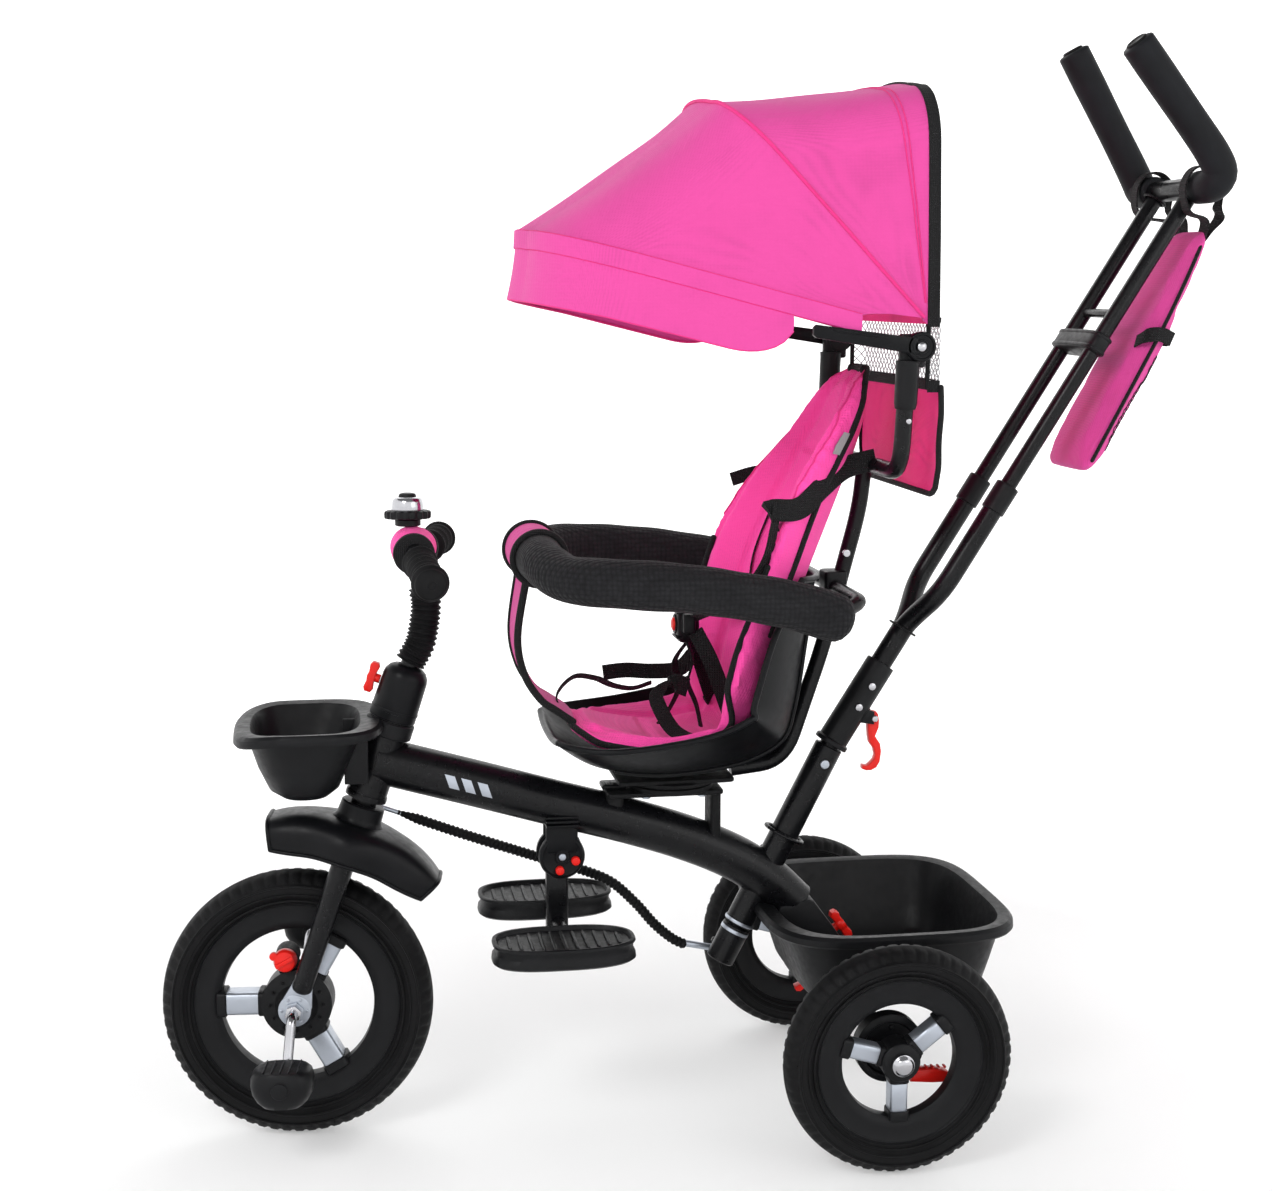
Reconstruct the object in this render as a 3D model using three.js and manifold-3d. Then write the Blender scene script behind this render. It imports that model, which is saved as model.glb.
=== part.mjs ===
// Children's push tricycle with a swivel seat, canopy, bumper guard and parent push bar.
// Millimetres. X points forward, Y to the rider's left, Z up. The drawing datum is the point on
// the floor under the rear axle; the last lines move the origin to the middle of the footprint.
import * as THREE from "three";
import { mergeVertices } from "three/addons/utils/BufferGeometryUtils.js";
import Module from "manifold-3d";

const wasm = await Module();
wasm.setup();

// ---------------------------------------------------------------- driving dimensions
const GAP = 0.3; // between pieces that touch
const WHEELBASE = 630;
const FRONT = { radius: 150, width: 47, bead: 113, opening: 84, hub: 39, spoke: 16, segments: 32 };
const REAR = { radius: 125, width: 42, bead: 90, opening: 62, hub: 21, spoke: 12, segments: 28 };
const TREAD = 0.2; // half the flat of the tread, as a share of the tyre's width
const HALF_TRACK = 213;
const RAKE = THREE.MathUtils.degToRad(19); // steering axis, leaning back from the vertical
const STEER = THREE.MathUtils.degToRad(-7); // the front wheel stands turned this far
const MAIN_TUBE = { radius: 26, bore: 23 };
const HEAD = { radius: 22, bore: 17, low: 243, high: 336 }; // distances along the steering axis
const SOCKET = { radius: 16.4, bore: 12.6, low: -86, high: 146 }; // along the push bar's axis
const SOCKET_TILT = THREE.MathUtils.degToRad(27);
const BAR_TILT = THREE.MathUtils.degToRad(32.2);
const LINK_RADIUS = 34; // crank radius of both steering link arms
const SEAT_AXIS_X = 208;
const CANOPY_HINGE = { x: -24, z: 877, y: 153 };
const FOOTREST_HINGE = { x: 334, z: 306 };
const BAR_SPACING = 45; // half distance between the push bar's twin tubes
const LOCK_BUTTONS = [[-15, -5], [3, -15.5]]; // X and Z from the footrest's hinge

// ---------------------------------------------------------------- materials
const paint = (color, roughness, metalness = 0) =>
  new THREE.MeshStandardMaterial({ color, roughness, metalness });
const STEEL_BLACK = paint(0x15161a, 0.35, 0.3);
const PLASTIC = paint(0x1b1c1f, 0.5);
const RUBBER = paint(0x141414, 0.9);
const FOAM = paint(0x1a1b1e, 0.95);
const CHROME = paint(0xc8c8cc, 0.2, 1);
const RED = paint(0xd01818, 0.4);
const PINK = paint(0xf03fa6, 0.9);
const GREY_BLACK = paint(0x26272a, 0.6);

// ---------------------------------------------------------------- geometry helpers
const V = (x, y, z) => new THREE.Vector3(x, y, z);
const Y_AXIS = V(0, 1, 0);

function solidOf(geometry) {
  const bare = geometry.clone();
  bare.deleteAttribute("normal");
  bare.deleteAttribute("uv");
  const merged = mergeVertices(bare, 1e-3);
  return new wasm.Manifold(
    new wasm.Mesh({
      numProp: 3,
      vertProperties: merged.attributes.position.array,
      triVerts: new Uint32Array(merged.index.array),
    }),
  );
}

function geometryOf(solid) {
  const mesh = solid.getMesh();
  return new THREE.BufferGeometry()
    .setAttribute("position", new THREE.BufferAttribute(mesh.vertProperties.slice(), 3))
    .setIndex(new THREE.BufferAttribute(mesh.triVerts.slice(), 1));
}

const join = (first, ...others) =>
  geometryOf(others.reduce((sum, g) => sum.add(solidOf(g)), solidOf(first)));
const cut = (first, ...tools) =>
  geometryOf(tools.reduce((rest, g) => rest.subtract(solidOf(g)), solidOf(first)));

// Turns a closed geometry's faces outwards where its winding came out reversed.
function facingOut(geometry) {
  const flat = geometry.index ? geometry.toNonIndexed() : geometry;
  const p = flat.attributes.position;
  let volume = 0;
  const corner = (i) => V(p.getX(i), p.getY(i), p.getZ(i));
  for (let i = 0; i < p.count; i += 3) volume += corner(i).dot(corner(i + 1).cross(corner(i + 2)));
  if (volume > 0) return flat;
  const points = [];
  for (let i = 0; i < p.count; i += 3) points.push(corner(i), corner(i + 2), corner(i + 1));
  return new THREE.BufferGeometry().setFromPoints(points);
}

const circle = (radius, sides) =>
  Array.from({ length: sides }, (_, i) => {
    const a = (2 * Math.PI * i) / sides;
    return new THREE.Vector2(radius * Math.cos(a), radius * Math.sin(a));
  });

// Straight runs between the points, with each inner corner rounded off by the bend length.
function bentPath(points, bend) {
  const path = new THREE.CurvePath();
  let start = points[0];
  for (let i = 1; i < points.length - 1; i++) {
    const corner = points[i];
    const reach = (other) =>
      corner.clone().lerp(other, Math.min(0.45, bend / corner.distanceTo(other)));
    const [enter, leave] = [reach(points[i - 1]), reach(points[i + 1])];
    path.add(new THREE.LineCurve3(start, enter));
    path.add(new THREE.QuadraticBezierCurve3(enter, corner, leave));
    start = leave;
  }
  path.add(new THREE.LineCurve3(start, points[points.length - 1]));
  return path;
}

const smoothPath = (points) => new THREE.CatmullRomCurve3(points, false, "centripetal");

function tube(path, radius, { bore = 0, sides = 8, steps = 12 } = {}) {
  const section = new THREE.Shape(circle(radius, sides));
  if (bore) section.holes.push(new THREE.Path(circle(bore, sides)));
  return facingOut(new THREE.ExtrudeGeometry(section, { steps, extrudePath: path, curveSegments: 1 }));
}

// A cylinder or cone from one point to another.
function rod(from, to, radius, { sides = 10, endRadius = radius } = {}) {
  const length = from.distanceTo(to);
  const geometry = new THREE.CylinderGeometry(endRadius, radius, length, sides);
  const turn = new THREE.Quaternion().setFromUnitVectors(Y_AXIS, to.clone().sub(from).normalize());
  return geometry.applyQuaternion(turn).translate(...from.clone().lerp(to, 0.5).toArray());
}

const box = (x0, x1, y0, y1, z0, z1) =>
  new THREE.BoxGeometry(x1 - x0, y1 - y0, z1 - z0).translate((x0 + x1) / 2, (y0 + y1) / 2, (z0 + z1) / 2);

// A ring or disc turned about the Y axis; profile points are (radius, y).
const turnedY = (profile, segments) =>
  facingOut(new THREE.LatheGeometry(profile.map(([r, y]) => new THREE.Vector2(r, y)), segments));

// A plate whose outline is in X and Z, between two Y values.
function sidePlate(outline, y0, y1) {
  const shape = new THREE.Shape(outline.map(([x, z]) => new THREE.Vector2(x, z)));
  const geometry = new THREE.ExtrudeGeometry(shape, { depth: y1 - y0, bevelEnabled: false });
  return facingOut(geometry.rotateX(Math.PI / 2).translate(0, y1, 0));
}

// Closed solid between two grids of points that face each other; front[i][j] meets back[i][j].
function slab(front, back) {
  const rows = front.length;
  const columns = front[0].length;
  const points = [...front.flat(), ...back.flat()];
  const f = (i, j) => i * columns + j;
  const b = (i, j) => rows * columns + i * columns + j;
  const index = [];
  const quad = (p, q, r, s) => index.push(p, q, r, p, r, s);
  for (let i = 0; i < rows - 1; i++)
    for (let j = 0; j < columns - 1; j++) {
      quad(f(i, j), f(i + 1, j), f(i + 1, j + 1), f(i, j + 1));
      quad(b(i, j), b(i, j + 1), b(i + 1, j + 1), b(i + 1, j));
    }
  for (let i = 0; i < rows - 1; i++) {
    quad(f(i, 0), b(i, 0), b(i + 1, 0), f(i + 1, 0));
    quad(f(i + 1, columns - 1), b(i + 1, columns - 1), b(i, columns - 1), f(i, columns - 1));
  }
  for (let j = 0; j < columns - 1; j++) {
    quad(f(0, j), f(0, j + 1), b(0, j + 1), b(0, j));
    quad(f(rows - 1, j + 1), f(rows - 1, j), b(rows - 1, j), b(rows - 1, j + 1));
  }
  return facingOut(new THREE.BufferGeometry().setFromPoints(points).setIndex(index));
}

// Closed solid through a stack of level outlines, each a superellipse.
function stack(levels, count = 20) {
  const rings = levels.map(({ x0, x1, half, z, power = 4 }) =>
    Array.from({ length: count }, (_, i) => {
      const a = (2 * Math.PI * (i + 0.5)) / count;
      const swell = (v) => Math.sign(v) * Math.abs(v) ** (2 / power);
      return V((x0 + x1) / 2 + ((x1 - x0) / 2) * swell(Math.cos(a)), half * swell(Math.sin(a)), z);
    }),
  );
  const middle = ({ x0, x1, z }) => V((x0 + x1) / 2, 0, z);
  const points = [...rings.flat(), middle(levels[0]), middle(levels[levels.length - 1])];
  const index = [];
  for (let i = 0; i < count; i++) {
    const next = (i + 1) % count;
    for (let k = 0; k < rings.length - 1; k++) {
      const [p, q, r, s] = [k * count + i, k * count + next, (k + 1) * count + next, (k + 1) * count + i];
      index.push(p, q, r, p, r, s);
    }
    const top = (rings.length - 1) * count;
    index.push(points.length - 2, next, i, points.length - 1, top + i, top + next);
  }
  return facingOut(new THREE.BufferGeometry().setFromPoints(points).setIndex(index));
}

const trike = new THREE.Group();

function add(group, name, geometry, material) {
  const mesh = new THREE.Mesh(geometry, material);
  mesh.name = name;
  group.add(mesh);
}

// ---------------------------------------------------------------- main frame
const mainPath = smoothPath([
  V(540, 0, 423), V(440, 0, 394), V(346, 0, 366), V(260, 0, 341), V(190, 0, 317),
  V(135, 0, 292), V(95, 0, 265), V(62, 0, 233),
]);
const steerAxis = V(-Math.sin(RAKE), 0, Math.cos(RAKE));
const steerForward = V(Math.cos(RAKE), 0, Math.sin(RAKE));
// Turned about a raked axis, the front wheel leans a little and stands on its tread's edge.
const lean = Math.asin(Math.sin(RAKE) * Math.sin(Math.abs(STEER)));
const frontAxle = V(WHEELBASE, 0, FRONT.radius * Math.cos(lean) + FRONT.width * TREAD * Math.sin(lean));
// A point at a distance along the steering axis, pushed forward and sideways; from the front axle.
const onSteer = (s, forward = 0, y = 0) =>
  V(0, y, 0).addScaledVector(steerAxis, s).addScaledVector(steerForward, forward);
const onHead = (s, forward = 0, y = 0) => onSteer(s, forward, y).add(frontAxle);

const pushFoot = V(89, 0, 288); // where the push bar's axis crosses the main tube's underside
const pushAxis = V(-Math.sin(SOCKET_TILT), 0, Math.cos(SOCKET_TILT));
const onPush = (t, y = 0) => V(0, y, 0).addScaledVector(pushAxis, t).add(pushFoot);

const frameClearance = tube(mainPath, MAIN_TUBE.radius + GAP, { sides: 16, steps: 12 });

function mainFrame() {
  const outside = join(
    tube(mainPath, MAIN_TUBE.radius, { sides: 16, steps: 12 }),
    rod(onHead(HEAD.low), onHead(HEAD.high), HEAD.radius, { sides: 16 }),
    rod(onPush(SOCKET.low), onPush(SOCKET.high), SOCKET.radius),
  );
  return cut(
    outside,
    rod(onHead(HEAD.low - 5), onHead(HEAD.high + 5), HEAD.bore),
    rod(onPush(SOCKET.low - 5), onPush(SOCKET.high + 5), SOCKET.bore),
    tube(smoothPath([V(70, 0, 241), V(62, 0, 233), V(54, 0, 225)]), 17, { sides: 12, steps: 2 }),
  );
}
add(trike, "main_frame", mainFrame(), STEEL_BLACK);

// The rear frame's neck plugs into the main tube and carries the axle tube and brake plates.
const neckPath = bentPath([V(65.5, 0, 236.5), V(40, 0, 203), V(14, 0, 166), V(0, 0, REAR.radius)], 12);
const BRAKE_PLATE = { radius: 38, from: 168, to: 186 };
function rearFrame() {
  const plates = [1, -1].map((side) =>
    rod(V(0, side * BRAKE_PLATE.from, REAR.radius), V(0, side * BRAKE_PLATE.to, REAR.radius),
      BRAKE_PLATE.radius, { sides: 20 }),
  );
  const axleTube = rod(V(0, -BRAKE_PLATE.to, REAR.radius), V(0, BRAKE_PLATE.to, REAR.radius), 13);
  const bore = rod(V(0, -200, REAR.radius), V(0, 200, REAR.radius), 6.5);
  return cut(join(tube(neckPath, 16, { sides: 12, steps: 8 }), axleTube, ...plates), bore);
}
add(trike, "rear_frame", rearFrame(), STEEL_BLACK);

const CAP_FACE = HALF_TRACK + REAR.width / 2;
function rearAxle() {
  const caps = [1, -1].map((side) =>
    rod(V(0, side * (CAP_FACE + 0.5), REAR.radius), V(0, side * (CAP_FACE + 7), REAR.radius), 12, {
      endRadius: 9,
    }),
  );
  return join(rod(V(0, -CAP_FACE - 2, REAR.radius), V(0, CAP_FACE + 2, REAR.radius), 6), ...caps);
}
add(trike, "rear_axle", rearAxle(), CHROME);

function seatBracket() {
  const ring = rod(V(SEAT_AXIS_X, 0, 378), V(SEAT_AXIS_X, 0, 385.5), 48, { sides: 24 });
  const plate = box(152, 284, -32, 32, 374, 379.5);
  const frontLeg = box(262, 284, -20, 20, 350, 375);
  const rearLeg = box(152, 165, -20, 20, 318, 375);
  return cut(join(ring, plate, frontLeg, rearLeg), frameClearance);
}
add(trike, "seat_bracket", seatBracket(), GREY_BLACK);
add(trike, "swivel_latch", box(259.5, 288, -14, 14, 380, 385.4), PLASTIC);

// ---------------------------------------------------------------- front basket
function basket() {
  const outer = stack([
    { x0: 578, x1: 652, half: 52, z: 388 },
    { x0: 574, x1: 664, half: 66, z: 402 },
    { x0: 553, x1: 676, half: 84, z: 462 },
    { x0: 531, x1: 692, half: 96, z: 463 },
    { x0: 531, x1: 690, half: 95, z: 473 },
  ]);
  const inner = stack([
    { x0: 582, x1: 648, half: 48, z: 392 },
    { x0: 578, x1: 660, half: 62, z: 404 },
    { x0: 557, x1: 672, half: 80, z: 474 },
  ]);
  const collar = rod(onHead(318), onHead(HEAD.high - 1), 27, { sides: 16 });
  const head = rod(onHead(300), onHead(360), HEAD.radius + GAP, { sides: 16 });
  const cover = rod(onHead(HEAD.high), onHead(370), 27 + GAP, { sides: 16 });
  return cut(join(outer, collar), inner, head, cover);
}
add(trike, "basket", basket(), PLASTIC);

// ---------------------------------------------------------------- rear bucket
function bucket() {
  const outer = stack([
    { x0: -134, x1: 62, half: 106, z: 146, power: 5 },
    { x0: -144, x1: 70, half: 118, z: 158, power: 5 },
    { x0: -160, x1: 92, half: 142, z: 226, power: 4 },
    { x0: -174, x1: 112, half: 156, z: 227, power: 4 },
    { x0: -172, x1: 110, half: 154, z: 239, power: 4 },
  ]);
  const inner = stack([
    { x0: -130, x1: 58, half: 102, z: 150, power: 5 },
    { x0: -140, x1: 66, half: 114, z: 160, power: 5 },
    { x0: -157, x1: 89, half: 139, z: 240, power: 4 },
  ]);
  const tunnel = sidePlate([
    [72, 148], [98, 228], [84, 238], [48, 246], [26, 214], [2, 180], [-22, 148],
  ], -24, 24);
  const neck = tube(neckPath, 16 + GAP, { sides: 12, steps: 8 });
  const mouth = rod(V(70, 0, 241), V(30, 0, 193), 16 + GAP);
  const socket = rod(onPush(SOCKET.low - 8), onPush(0), SOCKET.radius + 1.5);
  return cut(join(cut(outer, inner), tunnel), neck, mouth, socket, frameClearance);
}
add(trike, "bucket", bucket(), PLASTIC);

const knobSeat = V(15, 0, 198.5); // on the sloping top of the bucket's tunnel
const knobAxis = V(-0.817, 0, 0.577);
function bucketKnob() {
  const at = (d) => knobSeat.clone().addScaledVector(knobAxis, d);
  const wing = sidePlate([[-19, 0], [-15, 6], [15, 6], [19, 0], [15, -5], [-15, -5]], -7, 7)
    .rotateY(Math.atan2(knobAxis.x, knobAxis.z)).translate(...at(11).toArray());
  return join(rod(at(1), at(8), 4), wing);
}
add(trike, "bucket_knob", bucketKnob(), RED);

// ---------------------------------------------------------------- footrest
const hinge = FOOTREST_HINGE;
function footrestBracket() {
  const cheeks = [1, -1].map((side) => {
    const [y0, y1] = side > 0 ? [9, 18] : [-18, -9];
    const disc = rod(V(hinge.x, y0, hinge.z), V(hinge.x, y1, hinge.z), 26, { sides: 20 });
    return join(disc, box(hinge.x - 18, hinge.x + 18, y0, y1, hinge.z, 350));
  });
  const bridge = box(hinge.x - 18, hinge.x + 18, -18, 18, 330, 350);
  const buttonHoles = LOCK_BUTTONS.map(([dx, dz]) =>
    rod(V(hinge.x + dx, 5, hinge.z + dz), V(hinge.x + dx, 20, hinge.z + dz), 5.4),
  );
  const pin = rod(V(hinge.x, -25, hinge.z), V(hinge.x, 25, hinge.z), 4.5);
  return cut(join(bridge, ...cheeks), frameClearance, pin, ...buttonHoles);
}
add(trike, "footrest_bracket", footrestBracket(), PLASTIC);

const footrest = new THREE.Group();
footrest.position.set(hinge.x, 0, hinge.z);
trike.add(footrest);
function footrestPost() {
  const boss = rod(V(0, -8.5, 0), V(0, 8.5, 0), 22, { sides: 16 });
  const pin = rod(V(0, -19.5, 0), V(0, 19.5, 0), 4.1);
  const post = box(-8, 17, -8.5, 8.5, -88, -5);
  const crossBar = rod(V(4.5, -43.6, -82), V(4.5, 43.6, -82), 9);
  return join(boss, pin, post, crossBar);
}
add(footrest, "footrest_post", footrestPost(), STEEL_BLACK);
for (const [name, side] of [["left", 1], ["right", -1]]) {
  const level = (z, half, long) =>
    ({ x0: 8 - long, x1: 8 + long, half, z, power: 3.2 });
  const body = stack([level(-94, 40, 74), level(-91, 44, 79), level(-70, 42, 76)], 20);
  const dish = stack([level(-74, 38, 72), level(-69, 39, 73)], 20);
  add(footrest, `footrest_tray_${name}`, cut(body, dish).translate(0, side * 88, 0), PLASTIC);
}
LOCK_BUTTONS.forEach(([dx, dz], i) => {
  const button = rod(V(hinge.x + dx, 13, hinge.z + dz), V(hinge.x + dx, 21.5, hinge.z + dz), 5);
  add(trike, i ? "footrest_button_lower" : "footrest_button_upper", button, RED);
});

// ---------------------------------------------------------------- steering group
const steering = new THREE.Group();
steering.position.copy(frontAxle);
steering.quaternion.setFromAxisAngle(steerAxis, STEER);
trike.add(steering);
const LEG_Y = 40;
// The link arms lie square to the chassis when the wheel stands as drawn.
const unturned = (p) => p.applyAxisAngle(steerAxis, -STEER);

function linkArm(hub, along, pin, holeRadius) {
  const at = (p, d) => p.clone().addScaledVector(along, d);
  const web = new THREE.BoxGeometry(16, pin.distanceTo(hub) - 6, 5);
  const [side, out] = [new THREE.Vector3(), pin.clone().sub(hub).normalize()];
  side.crossVectors(out, along);
  web.applyMatrix4(new THREE.Matrix4().makeBasis(side, out, along));
  web.translate(...hub.clone().lerp(pin, 0.5).toArray());
  const eye = rod(at(pin, -2.5), at(pin, 2.5), 8);
  return cut(join(web, eye), rod(at(pin, -6), at(pin, 6), holeRadius));
}

function fork() {
  const legs = [1, -1].map((side) =>
    join(
      rod(onSteer(26, 0, side * LEG_Y), onSteer(196, 0, side * LEG_Y), 11.5, { endRadius: 12.5 }),
      rod(V(0, side * 33, 0), V(0, side * 38, 0), 18, { sides: 14 }),
      sidePlate([[-20, 10], [-9, 40], [7, 40], [14, 8], [0, 0]], side > 0 ? 33 : -38, side > 0 ? 38 : -33),
    ),
  );
  const crown = rod(onSteer(190, 0, -LEG_Y - 7), onSteer(190, 0, LEG_Y + 7), 12);
  const steerer = rod(onSteer(185), onSteer(372), 14);
  const arm = linkArm(onSteer(239.5), steerAxis, unturned(onSteer(239.5, 0, -LINK_RADIUS)), 3.6);
  const axleHole = rod(V(0, -60, 0), V(0, 60, 0), 6.3);
  return cut(join(crown, steerer, arm, ...legs), axleHole);
}
add(steering, "fork", fork(), STEEL_BLACK);

const FENDER = { top: 217, skirt: 176, from: 83, to: 139, thick: 3 };
function fender() {
  const rows = 9;
  const columns = 9;
  const grid = (inset) =>
    Array.from({ length: rows }, (_, i) => {
      const share = i / (rows - 1);
      const angle = THREE.MathUtils.degToRad(FENDER.from + share * (FENDER.to - FENDER.from));
      const bulge = Math.exp(-(((share - 0.47) / 0.2) ** 2));
      const half = 41 + 18 * bulge - inset;
      const tip = Math.max(0, Math.abs(share - 0.47) / 0.53 - 0.55) / 0.45;
      const skirt = FENDER.skirt + (FENDER.top - 8 - FENDER.skirt) * tip ** 2;
      const top = FENDER.top - inset - 9 * tip ** 2;
      return Array.from({ length: columns }, (_, j) => {
        const a = Math.PI * (j / (columns - 1));
        const y = half * Math.sign(Math.cos(a)) * Math.abs(Math.cos(a)) ** 0.55;
        const radius = skirt + (top - skirt) * Math.abs(Math.sin(a)) ** 0.55;
        return V(radius * Math.cos(angle), y, radius * Math.sin(angle));
      });
    });
  const neck = rod(onSteer(212), onSteer(236), 25, { sides: 16, endRadius: 23 });
  const hole = rod(onSteer(200), onSteer(245), 14 + GAP);
  const crownRoom = rod(onSteer(196), onSteer(211.5), 21);
  return cut(join(slab(grid(0), grid(FENDER.thick)), neck), hole, crownRoom);
}
add(steering, "fender", fender(), PLASTIC);

function stemCover() {
  const profile = [[26, 337], [24.5, 384], [20.5, 394], [14, 398]];
  const outside = profile.slice(1).map(([r, s], i) =>
    rod(onSteer(profile[i][1]), onSteer(s), profile[i][0], { sides: 16, endRadius: r }),
  );
  const hollow = rod(onSteer(330), onSteer(373), 14 + GAP);
  const mouth = rod(onSteer(330), onSteer(402), 11.2);
  return cut(join(...outside), hollow, mouth);
}
add(steering, "stem_cover", stemCover(), PLASTIC);

const SCREW_AT = 374;
function stemScrew() {
  const wing = sidePlate([
    [-4, -17], [4, -17], [5, -4], [5, 4], [4, 17], [-4, 17], [-5, 4], [-5, -4],
  ], -6, 6).rotateY(-RAKE).translate(...onSteer(SCREW_AT, 35).toArray());
  return join(rod(onSteer(SCREW_AT, 25.5), onSteer(SCREW_AT, 31), 4), wing);
}
add(steering, "stem_screw", stemScrew(), RED);

const gooseneck = smoothPath([
  onSteer(374), onSteer(398), V(-143, 0, 404), V(-149, 0, 440), V(-144, 0, 484), V(-136, 0, 508),
]);
const barCentre = V(-134, 0, 508);
// The bar sits a little askew in its clamp.
const barEnd = (side) => V(-160 - side * 4, side * 168, 494 - side * 9);
const barPath = bentPath([barEnd(1), V(-147, 80, 500), barCentre, V(-147, -80, 500), barEnd(-1)], 30);
function handlebar() {
  return join(tube(gooseneck, 10, { steps: 8 }), tube(barPath, 11, { steps: 10 }));
}
add(steering, "handlebar", handlebar(), STEEL_BLACK);

function bellows() {
  const stretch = smoothPath([onSteer(403), V(-143, 0, 404), V(-149, 0, 440), V(-147, 0, 462)]);
  return cut(tube(stretch, 16.5, { sides: 10, steps: 4 }), tube(gooseneck, 10 + GAP, { steps: 8 }));
}
add(steering, "stem_bellows", bellows(), RUBBER);

for (const [name, side] of [["left", 1], ["right", -1]]) {
  const inner = V(-147, side * 80, 500).lerp(barEnd(side), 0.1);
  const outer = V(-147, side * 80, 500).lerp(barEnd(side), 1.04);
  const flange = V(-147, side * 80, 500).lerp(barEnd(side), 0.92);
  const outside = join(rod(inner, outer, 17), rod(flange, outer, 20));
  add(steering, `handlebar_grip_${name}`, cut(outside, tube(barPath, 11 + GAP, { steps: 10 })), RUBBER);
}

// The pad is a thick sleeve round the middle of the bar, open below where the stem joins.
function handlebarPad() {
  const ends = [V(-139, 42, 504), V(-134, 0, 508), V(-139, -42, 504)];
  const sleeve = tube(smoothPath(ends), 22, { sides: 12, steps: 4 });
  return cut(sleeve, tube(barPath, 11 + GAP, { steps: 10 }), tube(gooseneck, 11, { steps: 8 }),
    rod(V(-141, 0, 490), V(-146, 0, 470), 13));
}
add(steering, "handlebar_pad", handlebarPad(), PINK);

const BELL = V(-131, 0, 532);
add(steering, "bell_base", rod(V(-131, 0, 530.5), V(-131, 0, 538), 14), PLASTIC);
function bellDial() {
  const dial = rod(V(BELL.x, 0, 538.4), V(BELL.x, 0, 548), 25, { sides: 16 });
  const dome = rod(V(BELL.x, 0, 547), V(BELL.x, 0, 562), 17, { sides: 16, endRadius: 15 });
  const button = rod(V(BELL.x, 0, 561), V(BELL.x, 0, 567), 9);
  return join(dial, dome, button);
}
add(steering, "bell_dial", bellDial(), CHROME);

// ---------------------------------------------------------------- wheels
const tyreProfile = ({ radius, bead, width }) => {
  const half = width / 2;
  const middle = (radius + bead) / 2;
  return [
    [bead, -half * 0.62], [middle, -half], [radius - 9, -half * 0.82], [radius, -width * TREAD],
    [radius, width * TREAD], [radius - 9, half * 0.82], [middle, half], [bead, half * 0.62],
    [bead, -half * 0.62],
  ];
};

function wheelCore({ bead, opening, hub, spoke, width, segments }, turns, bore) {
  const half = width * 0.31;
  const ring = turnedY([
    [bead - GAP, -half], [bead - GAP, half], [opening + 9, half], [opening, half - 6],
    [opening, -half + 6], [opening + 9, -half], [bead - GAP, -half],
  ], segments);
  const barrel = rod(V(0, -width * 0.46, 0), V(0, width * 0.46, 0), hub, { sides: 16 });
  const spokes = turns.map((degrees) => {
    const a = THREE.MathUtils.degToRad(degrees);
    const end = V(Math.cos(a), 0, Math.sin(a)).multiplyScalar(opening + 4);
    return rod(V(0, 0, 0), end, spoke, { sides: 8 });
  });
  return cut(join(ring, barrel, ...spokes), rod(V(0, -width, 0), V(0, width, 0), bore));
}

const frontWheel = new THREE.Group();
steering.add(frontWheel);
const CLUTCH = V(53 * Math.cos(1.36), 0, 53 * Math.sin(1.36)); // just outside the hub
add(frontWheel, "front_tyre", turnedY(tyreProfile(FRONT), FRONT.segments), RUBBER);
function frontCore() {
  const boss = rod(V(CLUTCH.x, -10, CLUTCH.z), V(CLUTCH.x, 15.5, CLUTCH.z), 12.5);
  const arm = cut(rod(V(0, 2, 0), V(CLUTCH.x, 2, CLUTCH.z), 11), rod(V(0, -20, 0), V(0, 20, 0), 20));
  return join(wheelCore(FRONT, [0, 120, 240], 6.3), boss, arm);
}
add(frontWheel, "front_rim", frontCore(), PLASTIC);
function clutchKnob() {
  const cap = rod(V(CLUTCH.x, 16, CLUTCH.z), V(CLUTCH.x, 28, CLUTCH.z), 13, { endRadius: 11.5 });
  const ear = V(CLUTCH.x + 12, 0, CLUTCH.z + 6);
  return join(cap, rod(V(ear.x, 22.5, ear.z), V(ear.x, 27, ear.z), 4));
}
add(frontWheel, "clutch_knob", clutchKnob(), RED);

const CRANK = 52;
const crankCorners = [
  V(4, 136, -CRANK), V(4, 82, -CRANK), V(0, 66, 0), V(0, -66, 0), V(-4, -82, CRANK), V(-4, -136, CRANK),
];
function crank() {
  const runs = crankCorners.slice(1).map((corner, i) => rod(crankCorners[i], corner, 5.5, { sides: 8 }));
  const elbows = crankCorners.slice(1, -1).map((corner) =>
    new THREE.IcosahedronGeometry(6, 0).translate(...corner.toArray()));
  return join(...runs, ...elbows);
}
add(steering, "crank", crank(), CHROME);
for (const [name, side] of [["left", 1], ["right", -1]]) {
  const body = stack([
    { x0: -24, x1: 24, half: 22, z: -24 }, { x0: -33, x1: 33, half: 27, z: -10 },
    { x0: -33, x1: 33, half: 27, z: 6 }, { x0: -27, x1: 27, half: 24, z: 17 },
  ], 16);
  const pedal = cut(body, rod(V(0, -40, 0), V(0, 40, 0), 6.3));
  add(steering, `pedal_${name}`, pedal.translate(side * 4, side * 117, -side * CRANK), PLASTIC);
}

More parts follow.
